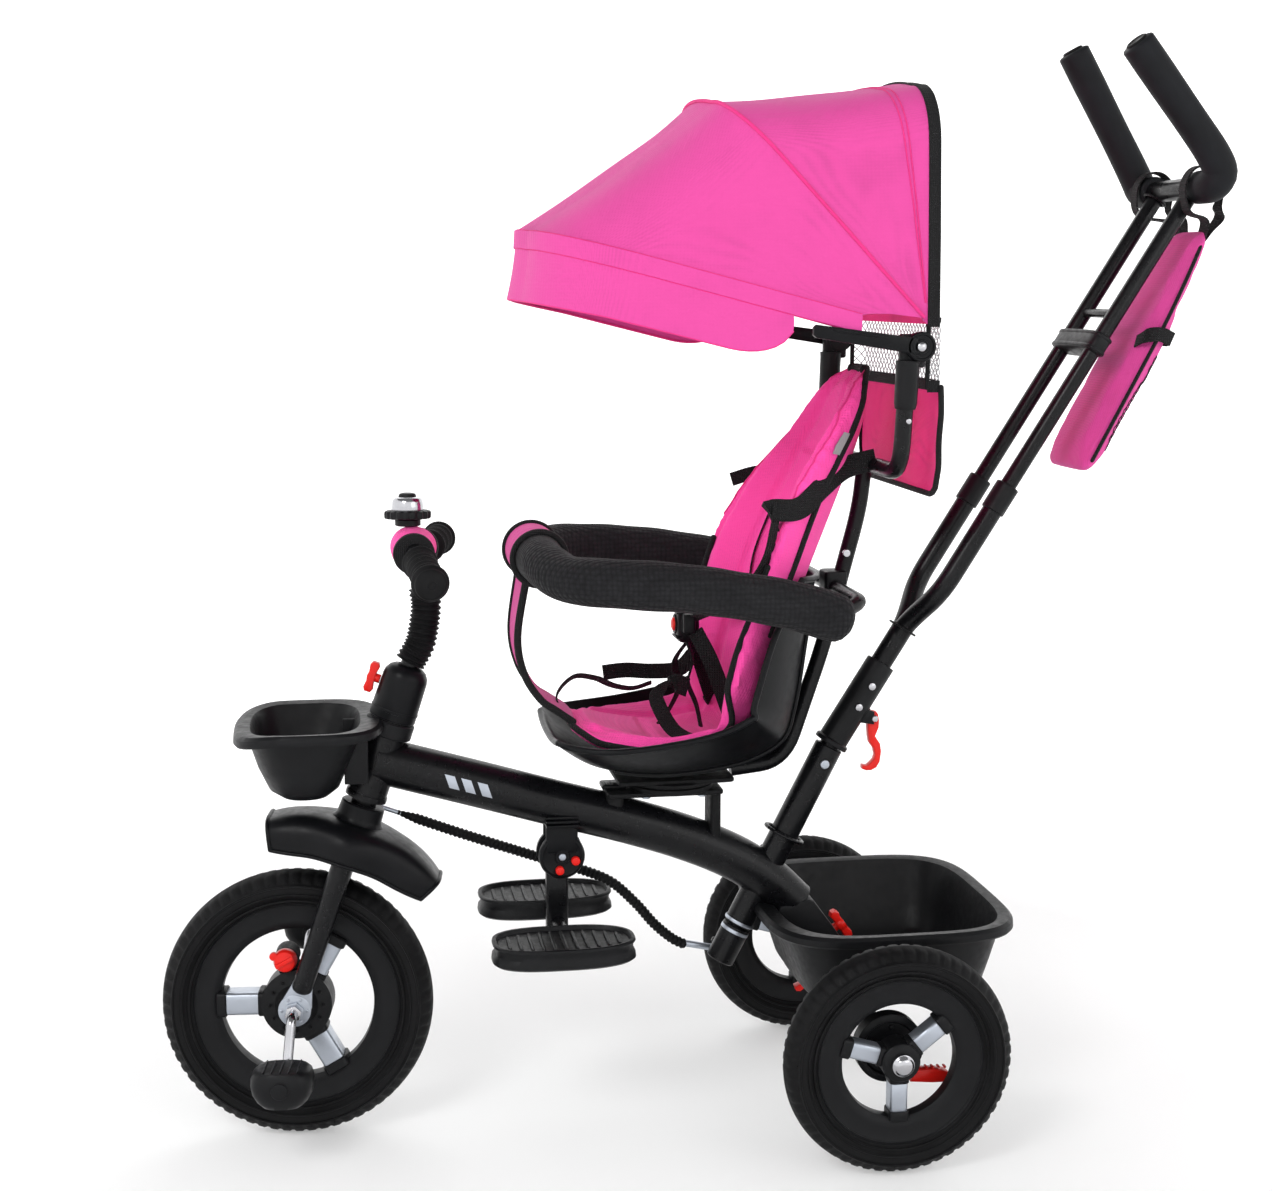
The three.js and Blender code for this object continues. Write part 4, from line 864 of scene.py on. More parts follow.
def bell():
    centre = V(-131, 0, 530.5)
    base = Shape(STEERED)
    base.turned([(0.01, 0), (12, 0), (14, 1), (14, 6.5), (13, 7.4), (0.01, 7.4)], centre, (0, 0, 1))
    base.make("bell_foot", "steering", [PLASTIC], ["bell_base"])
    dial = Shape(STEERED)
    rows = []
    for h, r in ((8, 20), (8.2, 23.4), (9.4, 24.6), (14, 24.8), (16.2, 24.2), (17.4, 22),
                 (17.6, 15)):
        rows.append([centre + V((r - 0.9 * (r > 22) * math.cos(a * 18)) * math.cos(a),
                                (r - 0.9 * (r > 22) * math.cos(a * 18)) * math.sin(a), h)
                     for a in (2 * PI * k / 144 for k in range(144))])
    dial.grid(rows, 1, ring=True, cap=True)
    dial.turned([(0.01, 17), (17.2, 17), (17.4, 18.4), (16.8, 26), (15.6, 29.6), (13.4, 31.4),
                 (9.6, 31.8)],
                centre, (0, 0, 1), 0, 64)
    dial.turned([(9.8, 31), (9.6, 33.4), (8.4, 35.4), (5, 36.4), (0.01, 36.6)], centre, (0, 0, 1),
                1, 48)
    dial.make("bell_dial_dome", "bell_dial", [CHROME, PLASTIC], ["bell_dial"])


# ---------------------------------------------------------------- wheels
FRONT_BEAD, REAR_BEAD = 113, 90  # where the tyre meets the rim


def tyre(local, radius, bead, width, name, body, node, lugs):
    """A round tyre with a ribbed crown, side cuts all round and moulding rings on its wall."""
    shape = Shape(local)
    half, middle = width / 2, (radius + bead) / 2
    wall = [(bead, -0.62), (bead + 2, -0.66), (bead + 4, -0.74), (bead + 4.6, -0.84),
            (bead + 6.4, -0.84), (bead + 7, -0.78), (middle - 7, -0.91), (middle - 6.4, -0.98),
            (middle - 4.8, -0.98), (middle - 4.2, -0.93), (middle, -0.98), (middle + 3, -0.97),
            (middle + 3.6, -1.03), (middle + 5.2, -1.03), (middle + 5.8, -0.955),
            (radius - 11, -0.9), (radius - 9, -0.84), (radius - 4.4, -0.66), (radius - 1.6, -0.46),
            (radius - 0.4, -0.24), (radius, -0.08)]
    outline = [(r, s * half) for r, s in wall] + [(r, -s * half) for r, s in reversed(wall)]
    outline.append(outline[0])
    sides = lugs * 6
    rows = []
    for k in range(sides):
        a = 2 * PI * k / sides
        cut = 1.5 if k % 6 in (0, 1) else 0
        row = []
        for r, y in outline[:-1]:
            share = abs(y) / half
            depth = cut * (1 if 0.3 < share < 0.9 and r > radius - 12 else 0)
            groove = 0.9 if 0.2 < share < 0.28 and r > radius - 3 else 0
            row.append(V((r - depth - groove) * math.cos(a), y, (r - depth - groove) * math.sin(a)))
        rows.append(row)
    shape.grid(rows, ring=True, loop=True)
    for _, side in LEFT_RIGHT:
        for k in range(lugs // 2):
            a = 4 * PI * (k + 0.25) / lugs
            root = V((radius - 12) * math.cos(a), side * half * 0.9, (radius - 12) * math.sin(a))
            tip = V((radius - 9) * math.cos(a), side * half * 0.97, (radius - 9) * math.sin(a))
            shape.tube([root, root.lerp(tip, 0.5), tip], 0.35, sides=5)
    valve = V(bead - 1, 0, 0)
    shape.tube([valve, valve - V(7, 0, 0), valve - V(13, 0, 0)], lambda t: 3 - 0.8 * t, sides=16,
               dome=1.5)
    shape.make(name, body, [RUBBER], [node], sharp=50)


def rim(local, bead, opening, hub, spoke, width, turns, name, body, node, extra=None):
    """A moulded ring, a stepped hub and box spokes whose silver faces sit between black collars."""
    shape = Shape(local)
    half = width * 0.31
    ring = [(bead - 0.4, -half), (bead + 0.8, -half - 1.4), (bead + 2, -half - 0.6),
            (bead - 1.6, -half + 1.6), (opening + 12, -half + 1.2), (opening + 6, -half + 2),
            (opening + 1, -half + 6), (opening, 0), (opening + 1, half - 6),
            (opening + 6, half - 2), (opening + 12, half - 1.2), (bead - 1.6, half - 1.6),
            (bead + 2, half + 0.6), (bead + 0.8, half + 1.4), (bead - 0.4, half)]
    ring.append(ring[0])
    shape.turned(ring, (0, 0, 0), (0, 1, 0), 0, 96)
    deep = width * 0.46
    core = [(6.5, -deep), (hub * 0.5, -deep), (hub * 0.56, -deep + 2), (hub * 0.9, -deep + 3),
            (hub, -deep + 5), (hub, deep - 5), (hub * 0.9, deep - 3), (hub * 0.56, deep - 2),
            (hub * 0.5, deep), (6.5, deep)]
    core.append(core[0])
    shape.turned(core, (0, 0, 0), (0, 1, 0), 0, 64)
    for degrees in turns:
        turn = Matrix.Rotation(-math.radians(degrees), 4, "Y")
        for low, high, size, slot in ((hub - 3, hub + 4, 1.12, 0), (hub + 3, opening - 5, 1.0, 1),
                                      (opening - 6, opening + 5, 1.16, 0)):
            rows = []
            for x in (low, low + 1.2, high - 1.2, high):
                k = size if low < x < high else size * 0.93
                rows.append([turn @ V(x, a, b) for a, b in superellipse(spoke * 0.92 * k,
                                                                        spoke * 0.82 * k, 5, 32)])
            shape.grid(rows, slot, ring=True, cap=True)
    if extra:
        extra(shape)
    shape.make(name, body, [PLASTIC, SILVER, MATT], [node])


def wheels():
    clutch = V(53 * math.cos(1.36), 0, 53 * math.sin(1.36))

    def boss(shape):
        shape.rod((clutch.x, -10, clutch.z), (clutch.x, 15.5, clutch.z), 13.5, 12.5, slot=2)
        for step in (0.35, 0.55, 0.75):
            shape.rod((clutch.x * step, -8, clutch.z * step),
                      (clutch.x * step, 11, clutch.z * step), 11.5, slot=2)
        shape.rod((0, 20, 0), (0, 28, 0), 24, 20, slot=2)
        for x, z in round_points(12, 30):
            shape.rod((x, 20, z), (x, 22.4, z), 1.8, slot=2, sides=12)
    tyre(STEERED, FRONT_RADIUS, FRONT_BEAD, FRONT_WIDTH, "front_tyre_tread", "front_wheel",
         "front_tyre", 66)
    rim(STEERED, FRONT_BEAD, 84, 39, 16, FRONT_WIDTH, (0, 120, 240), "front_rim_spokes",
        "front_wheel", "front_rim", boss)
    knob = Shape(STEERED)
    knob.turned([(0.01, 16), (12.4, 16), (13, 17), (12.6, 24), (11, 27), (7, 28.2), (0.01, 28.6)],
                (clutch.x, 0, clutch.z), (0, 1, 0), sides=40)
    ear = V(clutch.x + 12, 0, clutch.z + 6)
    knob.rod((ear.x, 21.5, ear.z), (ear.x, 27.2, ear.z), 4.6, sides=24)
    knob.plate([(-11, -2.4), (11, -2.4), (11, 2.4), (-11, 2.4)], 28, 31,
               local=Matrix.Translation((clutch.x, 0, clutch.z)) @ Matrix.Rotation(0.5, 4, "Y"))
    knob.make("clutch_knob_red", "clutch_knob", [RED], ["clutch_knob"])
    for name, side in LEFT_RIGHT:
        local = Matrix.Translation((0, side * HALF_TRACK, REAR_RADIUS))
        tyre(local, REAR_RADIUS, REAR_BEAD, REAR_WIDTH, "rear_tyre_%s_tread" % name,
             "rear_wheel_" + name, "rear_tyre_" + name, 56)
        rim(local, REAR_BEAD, 62, 21, 12, REAR_WIDTH, (17, 142, 270), "rear_rim_%s_spokes" % name,
            "rear_wheel_" + name, "rear_rim_" + name)


def crank_and_pedals():
    reach = 52
    corners = [V(4, 136, -reach), V(4, 82, -reach), V(0, 66, 0), V(0, -66, 0), V(-4, -82, reach),
               V(-4, -136, reach)]
    shape = Shape(STEERED)
    shape.tube(bent(corners, 9), 5.5, sides=24, dome=2.5)
    for _, side in LEFT_RIGHT:
        shape.rod((0, side * 46, 0), (0, side * 51, 0), 9.4, sides=6)
    shape.make("crank_rod", "crank", [CHROME], ["crank"])
    for name, side in LEFT_RIGHT:
        middle = V(side * 4, side * 117, -side * reach)
        pedal = Shape(STEERED @ Matrix.Translation(middle))
        pedal.stack([(-15, 15, 17, -24, 2.6), (-21, 21, 21, -22.6, 2.7), (-27, 27, 24.5, -17, 2.8),
                     (-31.5, 31.5, 26.6, -9, 3), (-33.4, 33.4, 27.4, 0, 3), (-33, 33, 27, 7, 3),
                     (-31, 31, 26, 13, 3), (-27, 27, 24, 16.4, 2.9), (-22, 22, 20, 17, 2.8)],
                    count=64)
        for k in range(5):
            x = -18 + 9 * k
            pedal.block((x - 1.4, -20, 16.4), (x + 1.4, 20, 18.2), corner=1, count=20)
        for _, end in LEFT_RIGHT:
            pedal.rod((0, end * 26.6, 0), (0, end * 29, 0), 9, sides=28)
        pedal.make("pedal_%s_block" % name, "pedal_" + name, [PLASTIC], ["pedal_" + name])


def brake_pedals():
    outlines = {
        "left": [(-30, 97.5), (-52, 97), (-66, 94), (-72, 88), (-71, 81), (-50, 81.5), (-25, 84),
                 (-27, 92)],
        "right": [(-31, 97), (-52, 96.5), (-66, 94), (-72, 88), (-71, 81), (-50, 80.5), (-24, 80),
                  (-4, 69), (8, 59.5), (13, 60), (15, 66), (4, 71), (-11, 79), (-21, 88.5)],
    }
    for name, side in LEFT_RIGHT:
        low, high = sorted((side * 170, side * 184))
        shape = Shape()
        shape.plate(outlines[name], low, high, edge=1.8)
        for k in range(4):
            shape.block((-66 + 7 * k, low + 2.5, 96.6 + 0.4 * k),
                        (-63 + 7 * k, high - 2.5, 98.2 + 0.35 * k), corner=1, count=20)
        shape.make("brake_%s_pedal" % name, "brake_pedal_" + name, [RED], ["brake_pedal_" + name])


# ---------------------------------------------------------------- seat
def between(stations, v):
    """The station at v, with every value run smoothly through its neighbours."""
    k = min(int(v), len(stations) - 2)
    t = v - k
    a, b, c, d = [stations[max(0, min(len(stations) - 1, k + i))] for i in (-1, 0, 1, 2)]
    return [0.5 * (2 * q + (r - p) * t + (2 * p - 5 * q + 4 * r - s) * t ** 2
                   + (3 * q - p - 3 * r + s) * t ** 3)
            for p, q, r, s in zip(a, b, c, d)]


def trough_point(stations, v, s, lift=0.0):
    """A point on a seat trough: v runs up the stations, s across from -1 to 1."""
    x, z, lean, half, rise = between(stations, v)
    if stations is CUSHION and s < 0:  # the right wing is pushed a little further open
        rise += 16 * math.exp(-(((v - 6.9) / 0.9) ** 2))
    a = math.radians(lean)
    height = rise * abs(s) ** 2.6 + lift
    inward = lift * math.copysign(abs(s) ** 4, s)
    return V(x + math.sin(a) * height, half * s - inward, z + math.cos(a) * height)


def trough_rows(stations, along, across, lift=0.0):
    return [[trough_point(stations, (len(stations) - 1) * i / (along - 1), 2 * j / (across - 1) - 1,
                          lift)
             for j in range(across)] for i in range(along)]


# x, z, lean in degrees, half width, rise of the side edges
SHELL = [(348, 447, -20, 84, 6), (336, 434, -12, 108, 18), (300, 413, -6, 128, 38),
         (240, 400, 0, 134, 56), (180, 401, 2, 136, 66), (125, 411, 18, 136, 74),
         (84, 436, 50, 134, 74), (67, 480, 74, 131, 76), (57, 560, 82, 126, 62),
         (50, 622, 80, 112, 36)]
CUSHION = [(330, 461, -14, 50, 3), (300, 440, -6, 84, 8), (240, 424, 0, 106, 16),
           (190, 420, 6, 112, 28), (143, 431, 28, 112, 38), (116, 466, 56, 112, 52),
           (96, 530, 70, 116, 58), (64, 620, 67, 118, 62), (32, 700, 66, 108, 62),
           (4, 775, 66, 86, 38), (-10, 828, 66, 60, 20), (-17, 850, 66, 34, 8)]
CUSHION_THICK, PIPING = 17, 3.6


def seat_shell():
    shape = Shape()
    rows = trough_rows(SHELL, 60, 48)
    shape.sheet(rows, 3.6)
    rim = [row[0] for row in rows] + rows[-1][1:-1] + [row[-1] for row in reversed(rows)]
    for line in (rim, rows[0]):
        shape.tube(line, 3.6, sides=14, dome=3)
    for s in (-0.55, 0.55):
        groove = [trough_point(SHELL, v / 6, s, -1.2) for v in range(14, 50)]
        shape.tube(groove, 2.6, sides=10, dome=2)
    shape.make("seat_shell_moulded", "seat", [SATIN], ["seat_shell"])


def nearest_on(line, p):
    """The distance from p to the nearest place on the line."""
    nearest = math.inf
    for a, b in zip(line, line[1:]):
        q, t = intersect_point_line(p, a, b)
        q = a if t < 0 else b if t > 1 else q
        nearest = min(nearest, (p - q).length)
    return nearest


def press_seams(piece, lines, width, depth):
    """Sinks a soft groove into a padded piece along each line, given in millimetres."""
    lines = [[DATUM @ p for p in line] for line in lines]
    mesh = piece.data
    normals = [v.normal.copy() for v in mesh.vertices]
    reach = width * 0.001
    for vertex, normal in zip(mesh.vertices, normals):
        near = min(nearest_on(line, vertex.co) for line in lines)
        if near < reach:
            vertex.co -= normal * depth * 0.001 * (1 - (near / reach) ** 2) ** 2
    mesh.update()
    bpy.context.view_layer.update()


def puff(piece, voxel=0.005, pressure=4.0, cap=0.007, frames=20):
    """Cloth pressure swells a padded piece, then every point is held to within cap of its start."""
    remesh = piece.modifiers.new("remesh", "REMESH")
    remesh.mode, remesh.voxel_size = "VOXEL", voxel
    settle(piece)
    start = [v.co.copy() for v in piece.data.vertices]
    cloth = piece.modifiers.new("cloth", "CLOTH")
    cloth.settings.use_pressure = True
    cloth.settings.uniform_pressure_force = pressure
    cloth.settings.effector_weights.gravity = 0
    cloth.settings.quality = 5
    cloth.point_cache.frame_start, cloth.point_cache.frame_end = 1, frames
    scene = bpy.context.scene
    for f in range(1, frames + 1):
        scene.frame_set(f)
    settle(piece)
    scene.frame_set(1)
    for vertex, home in zip(piece.data.vertices, start):
        move = vertex.co - home
        if move.length > cap:
            vertex.co = home + move.normalized() * cap
    subdivide = piece.modifiers.new("fine", "SUBSURF")
    subdivide.levels = subdivide.render_levels = 1
    settle(piece)
    piece.data.shade_smooth()


def settle(piece):
    """Puts the piece's modifiers into its mesh."""
    graph = bpy.context.evaluated_depsgraph_get()
    mesh = bpy.data.meshes.new_from_object(piece.evaluated_get(graph))
    old, piece.data = piece.data, mesh
    piece.modifiers.clear()
    bpy.data.meshes.remove(old)


def laid_on(piece, points, gap):
    """The points dropped onto a piece's surface, standing gap off it."""
    back = DATUM.inverted()
    laid = []
    for p in points:
        _, place, normal, _ = piece.closest_point_on_mesh(DATUM @ p)
        laid.append(back @ (place + normal * gap * 0.001))
    return laid


def cushion_edge(lift, start, end, s):
    """The line along one side edge of the liner, between two stations."""
    count = max(2, round((end - start) / 0.11))
    return [trough_point(CUSHION, start + (end - start) * i / count, s, lift)
            for i in range(count + 1)]


def seat_cushion():
    """One padded liner from the seat's nose to the headrest, with wings, channels and piping."""
    shape = Shape()
    shape.sheet(trough_rows(CUSHION, 70, 34, 3), CUSHION_THICK - 6)
    pad = shape.make("seat_cushion_padded", "seat", [PINK_PADDED], ["seat_cushion"])
    puff(pad)
    seams = [[trough_point(CUSHION, v / 4, s, CUSHION_THICK) for v in range(4, 43)]
             for s in (-0.62, 0.62)]
    seams.append([trough_point(CUSHION, v / 4, 0, CUSHION_THICK) for v in range(20, 43)])
    for v in (2.1, 4.2, 6.6, 8.6):
        seams.append([trough_point(CUSHION, v, s / 10, CUSHION_THICK) for s in range(-6, 7)])
    press_seams(pad, seams, 11, 5)
    trim = Shape()
    last, mid = len(CUSHION) - 1, CUSHION_THICK / 2
    nose = [trough_point(CUSHION, 0, -1 + 2 * k / 20, 2) for k in range(21)]
    brow = [trough_point(CUSHION, last, -1 + 2 * k / 20, mid) for k in range(21)]
    trim.tube(laid_on(pad, nose, 0.5), 3.4, sides=12)
    for s in (-1, 1):
        low_rim = cushion_edge(1, 0, 4.4, s)
        front_rim = cushion_edge(mid, 5.2, 7.3, s)
        trim.tube(smooth(laid_on(pad, low_rim[::4] + front_rim[::4], 0.5)), PIPING, sides=12,
                  dome=3)
        trim.tube(laid_on(pad, cushion_edge(mid, 7.3, last, s), 0.1), 1.1, 1, sides=8, dome=1)
        outer = [trough_point(CUSHION, v, s * (0.80 + 0.2 * max(0, (v - 9.6) / 1.4)), -3.2)
                 for v in (6.3 + 0.1 * k for k in range(48))]
        trim.tube(smooth(laid_on(pad, outer[::3], 0.8)), PIPING, sides=12, dome=3)
    trim.tube(laid_on(pad, brow, 0.5), 5.2, sides=14, dome=4)
    trim.make("seat_cushion_piping", "seat", [BINDING, THREAD])
    label = Shape()
    label_rows = [[trough_point(CUSHION, 8.62 + 0.05 * k, 0.80 + 0.018 * i, -4) for i in range(7)]
                  for k in range(8)]
    label.sheet([laid_on(pad, row, 1.4) for row in label_rows], -0.8)
    label.make("seat_label", "seat", [LABEL])
    return pad


def harness(pad):
    """Shoulder straps over the wings, lap straps, a buckle with its button, and webbing loops."""
    def on_pad(v, s, above=2.0):
        return trough_point(CUSHION, v, s, CUSHION_THICK + above)
    straps = Shape()
    # round the left wing from the back tube, then down to the buckle
    outside = [(8.5, 0.64), (8.15, 0.84), (7.78, 0.96)]
    over = laid_on(pad, [trough_point(CUSHION, v, s, -4) for v, s in outside], 2.6)
    inside = laid_on(pad, [trough_point(CUSHION, 7.5, 0.93, CUSHION_THICK + 4)], 3)
    edge = trough_point(CUSHION, 7.6, 1.07, CUSHION_THICK / 2)
    straps.ribbon(smooth([V(-8, 62, 752), *over, edge, *inside]), 24, across=(0.45, 0, 0.9))
    straps.ribbon(smooth([V(112, 109, 712), V(117, 110, 682), V(124, 107, 650), V(140, 98, 622),
                          V(162, 68, 596), V(182, 30, 578), V(192, 12, 570)]), 15,
                  across=(0.62, 0.62, 0.46))
    # the right strap stands out past its wing
    straps.ribbon(smooth([V(30, -86, 712), V(58, -116, 723), V(84, -124, 722), V(112, -127, 714)]),
                  16, across=(0.15, 0, 1))
    straps.ribbon(smooth([on_pad(7.7, -0.6), on_pad(7.0, -0.55, 4), on_pad(6.3, -0.4, 8),
                          V(168, -22, 592), V(184, -10, 574)]), 18, across=(0.3, 1, 0.1))
    # lap straps
    for side in (-1, 1):
        straps.ribbon(smooth([on_pad(4.6, side * 0.72, 1), on_pad(4.5, side * 0.5, 8),
                              V(170, side * 42, 528), V(184, side * 22, 560)]), 18,
                      across=(-0.5, 0, 0.85))
    # the crotch strap's loop, its long tail and the spare webbing on the seat
    straps.ribbon(smooth([V(312, 2, 455), V(330, 2, 466), V(337, 0, 488), V(318, -5, 507),
                          V(292, -16, 503), V(268, -34, 490), V(244, -44, 484), V(222, -44, 490)]),
                  17, across=(0.1, 0.9, 0.42))
    straps.ribbon(smooth([V(276, -60, 500), V(250, -56, 503), V(222, -50, 502), V(192, -38, 506),
                          V(180, -20, 524)]),
                  18, 2.2, across=(0.05, 0.12, 1))
    straps.ribbon(smooth([V(196, 40, 500), V(216, 52, 508), V(234, 58, 496), V(228, 62, 476),
                          V(216, 66, 458), V(200, 72, 452), V(184, 78, 458)]), 21,
                  across=(0.78, 0.5, -0.1))
    straps.ribbon(smooth([V(190, 2, 548), V(184, 6, 524), V(190, 12, 500), V(182, 18, 476),
                          V(178, 26, 452)]),
                  24, 2.2, across=(0.25, 1, 0))
    straps.ribbon(smooth([V(186, -6, 546), V(202, -8, 520), V(196, -12, 492), V(206, -14, 466),
                          V(220, -14, 448)]),
                  22, across=(0.5, 1, 0))
    straps.make("harness_straps", "seat", [WEBBING])
    buckle = Shape()
    buckle.stack([(182, 198, 11, 545, 3), (180, 200, 14, 546.5, 3), (177, 203, 18, 556, 3.4),
                  (176.6, 203.4, 18.6, 565, 3.4), (177, 203, 18, 574, 3.4),
                  (180, 200, 14, 582.5, 3), (183, 197, 11, 584, 3)], count=56)
    for z in (551, 579):
        buckle.block((176, -15, z - 1), (204, 15, z + 1), corner=2)
    buckle.turned([(8.4, 0), (11, 0), (11, 1.2), (10.4, 1.8), (8.4, 1.8), (8.4, 0)],
                  (202.6, 0, 565), (1, 0, 0))
    for side in (-1, 1):
        buckle.block((184, side * 22 - 6, 558), (198, side * 22 + 6, 580), corner=3)
    buckle.make("harness_buckle_shell", "seat", [SATIN], ["harness_buckle"])
    button = Shape()
    button.turned([(0.01, 0), (7.6, 0), (7.9, 1), (7.9, 8), (6.8, 10.2), (4, 11.2), (0.01, 11.5)],
                  (196, 0, 565), (1, 0, 0), sides=40)
    button.make("buckle_button_red", "buckle_button", [RED], ["buckle_button"])


POST_Y = 153  # the canopy's posts


def back_frame():
    """The tube up the seat's back, the posts' cross tube, the guard's hoop and the sockets."""
    shape = Shape()
    shape.tube(bent([V(139, 0, 396), V(76, 0, 403), V(30, 0, 540), V(12, 0, 615), V(-8, 0, 690),
                     V(-13, 0, 738)], 34),
               9, sides=28)
    shape.tube(bent([V(-14, POST_Y, 858), V(-8, POST_Y, 745), V(-8, -POST_Y, 745),
                     V(-14, -POST_Y, 858)], 34), 9,
               sides=28)
    shape.tube(bent([V(42, 135, 598), V(22, 118, 604), V(22, -118, 604), V(42, -135, 598)], 14), 8,
               sides=24)
    for _, side in LEFT_RIGHT:
        y = side * POST_Y
        shape.turned([(9, 0), (10.6, 0), (11.2, 1.5), (12, 6), (12.4, 44), (13, 50), (0.01, 50)],
                     (-12, y, 812), (-0.04, 0, 1), 1, 40)
        shape.block((-32, y - 6.5, 855), (-4, y + 6.5, 890), 1, corner=4)
        shape.rod((-24, y - 7.4 * side, 877), (-24, y + 7.4 * side, 877), 14, slot=1)
        shape.rod((-13, y + side * 9, 800), (-13, y + side * 11.4, 800), 3, slot=2, sides=20)
    shape.rod((8.5, 7, 642), (8.5, 11.5, 642), 4.4, slot=2, sides=20)
    shape.rod((20, 6, 612), (20, 11.5, 612), 4.4, slot=2, sides=20)
    shape.block((8, -16, 598), (34, 16, 622), 1, corner=4)
    shape.make("seat_back_tubes", "seat", [STEEL, PLASTIC, CHROME], ["seat_back_frame"])


def rear_pocket():
    """A pocket with a net top, all bound in black."""
    line = spaced(bent([V(-38, 145, 0), V(-53, 147, 0), V(-56, 0, 0), V(-53, -147, 0),
                        V(-38, -145, 0)], 12), 6)
    low, high = 838, 904
    net = Shape()
    levels = 12
    for j in range(levels):
        z0, z1 = [low + (high - low) * k / levels for k in (j, j + 1)]
        for i in range(0, len(line) - 1):
            shift = (i + j) % 2
            a, b = (line[i], line[i + 1]) if shift else (line[i + 1], line[i])
            net.tube([a + V(0, 0, z0), b + V(0, 0, z1)], 0.62, sides=4)
    mesh_panel = net.make("pocket_net", "seat", [NET])
    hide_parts("rear_pocket")
    panel = Shape()
    rows = []
    for i in range(33):
        y = -146 + 292 * i / 32
        row = []
        for k in range(23):
            t = k / 22
            corner = max(0, abs(y) - 116) / 30
            foot = 719 + 30 * (1 - math.sqrt(max(0, 1 - corner ** 2)))
            z = foot + (834 - foot) * t
            sag = 5.5 * math.sin(PI * min(1, 1.25 - t)) * (1 - (y / 152) ** 4)
            ripple = 1.4 * math.sin(y / 17 + 1.2 * math.sin(t * 5)) * t * (1 - t) * 3
            row.append(V(-52 - sag - ripple, y, z))
        rows.append(row)
    panel.sheet(rows, 2.0)
    cloth = panel.make("pocket_panel", "seat", [PINK_DEEP])
    trim = Shape()
    for z, size in ((low - 3, 5.6), (high, 2.4)):
        trim.ribbon([p + V(0, 0, z) for p in line], size * 2.2, 1.8, across=(0, 0, 1))
    for end in (0, -1):
        trim.ribbon([line[end] + V(0, 0, low - 6), line[end] + V(0, 0, high)], 5, 1.8,
                    across=(1, 0, 0))
    outline = [rows[0][k] for k in range(22, -1, -1)] + [row[0]
                                                         for row in rows[1:-1]] + list(rows[-1])
    trim.tube(outline, 3.2, sides=12, dome=3)
    trim.make("pocket_trim", "seat", [BINDING])


# ---------------------------------------------------------------- bumper guard
def guard_line(side):
    return smooth([V(64, side * 168, 596), V(120, side * 172, 613), V(215, side * 170, 630),
                   V(296, side * 158, 636), V(338, side * 128, 637), V(355, side * 92, 644),
                   V(360, side * 66, 648), V(360, side * 34, 648)])


def guards():
    for name, side in LEFT_RIGHT:
        line = spaced(guard_line(side), 5)
        shape = Shape()
        shape.tube(line, lambda t: 25.4 + 0.35 * math.sin(t * 40) + 0.5 * math.sin(t * 13 + side),
                   sides=56, dome=20)
        shape.make("guard_%s_foam" % name, "guard_" + name, [KNIT_PAINTED_SHADE], ["guard_arm_" + name], sharp=80)


def crotch():
    """A padded sleeve round the guard's middle and a strap down to the seat's nose."""
    shape = Shape()
    sleeve = [V(GUARD.x, y, GUARD.z) for y in range(-43, 44, 2)]
    shape.tube(sleeve, lambda t: 28.6 + 0.5 * math.sin(t * 27) + 0.8 * math.sin(PI * t), 0,
               sides=56)
    line = spaced(smooth([V(376, 0, 630), V(386, 0, 562), V(379, 0, 520), V(362, 0, 492),
                          V(346, 0, 480), V(326, 0, 466)]), 4)
    rows = []
    for i, p in enumerate(line):
        half = 42 - 6 * math.sin(PI * i / (len(line) - 1))
        rows.append([p + V(-1.5 * math.cos(y * PI / 2) * 1.5, half * y, 0)
                     for y in (k / 8 - 1 for k in range(17))])
    shape.sheet(rows, 5)
    piece = shape.make("crotch_strap", "seat", [PINK], ["crotch_pad"])
    trim = Shape()
    for side in (-1, 1):
        ring = [V(GUARD.x + 29.4 * math.cos(a), side * 43, GUARD.z + 29.4 * math.sin(a))
                for a in (2 * PI * k / 60 for k in range(61))]
        trim.tube(ring, 3.4, sides=12)
        trim.tube([row[-1 if side > 0 else 0] + V(-2, 0, 0) for row in rows], 4.2, sides=12, dome=3)
    trim.tube([p + V(-4.5, 0, 0) for p in line[:-3]], 0.9, 0, sides=8)
    trim.make("crotch_trim", "seat", [BINDING])


# ---------------------------------------------------------------- canopy
CLOTH_THICK = 1.4
# Each hoop of the canopy is a U: up one side from its foot, round a corner, over the top.
HOOPS = {  # foot (x, z), top (x, z), half width, corner radius
    "rear": ((-37, 897), (-33, 1147), 156, 62),
    "middle": ((-29, 906), (180, 1127), 160, 78),
    "front": ((39, 910), (368, 996), 163, 118),
}


def hoop(name, count=96, crown=9.0):
    """A hoop's curve from its left foot to its right one, a little crowned on top."""
    (x0, z0), (x1, z1), half, corner = HOOPS[name]
    foot, top = V(x0, 0, z0), V(x1, 0, z1)
    out = (top - foot).normalized()
    length = (top - foot).length
    line = [(0, half), ((length - corner) * 0.5, half + 1.2), (length - corner, half)]
    line += [(length - corner + corner * math.sin(a), half - corner + corner * math.cos(a))
             for a in (PI / 2 * k / 12 for k in range(1, 13))]
    points = [foot + out * r + V(0, y, 0) for r, y in line]
    inner = half - corner
    for k in range(1, 8):
        y = inner * (1 - k / 8)
        points.append(foot + out * (length + crown * (1 - (y / inner) ** 2)) + V(0, y, 0))
    centre = foot + out * (length + crown)
    points = points + [centre] + [V(p.x, -p.y, p.z) for p in reversed(points)]
    return resampled(points, count)


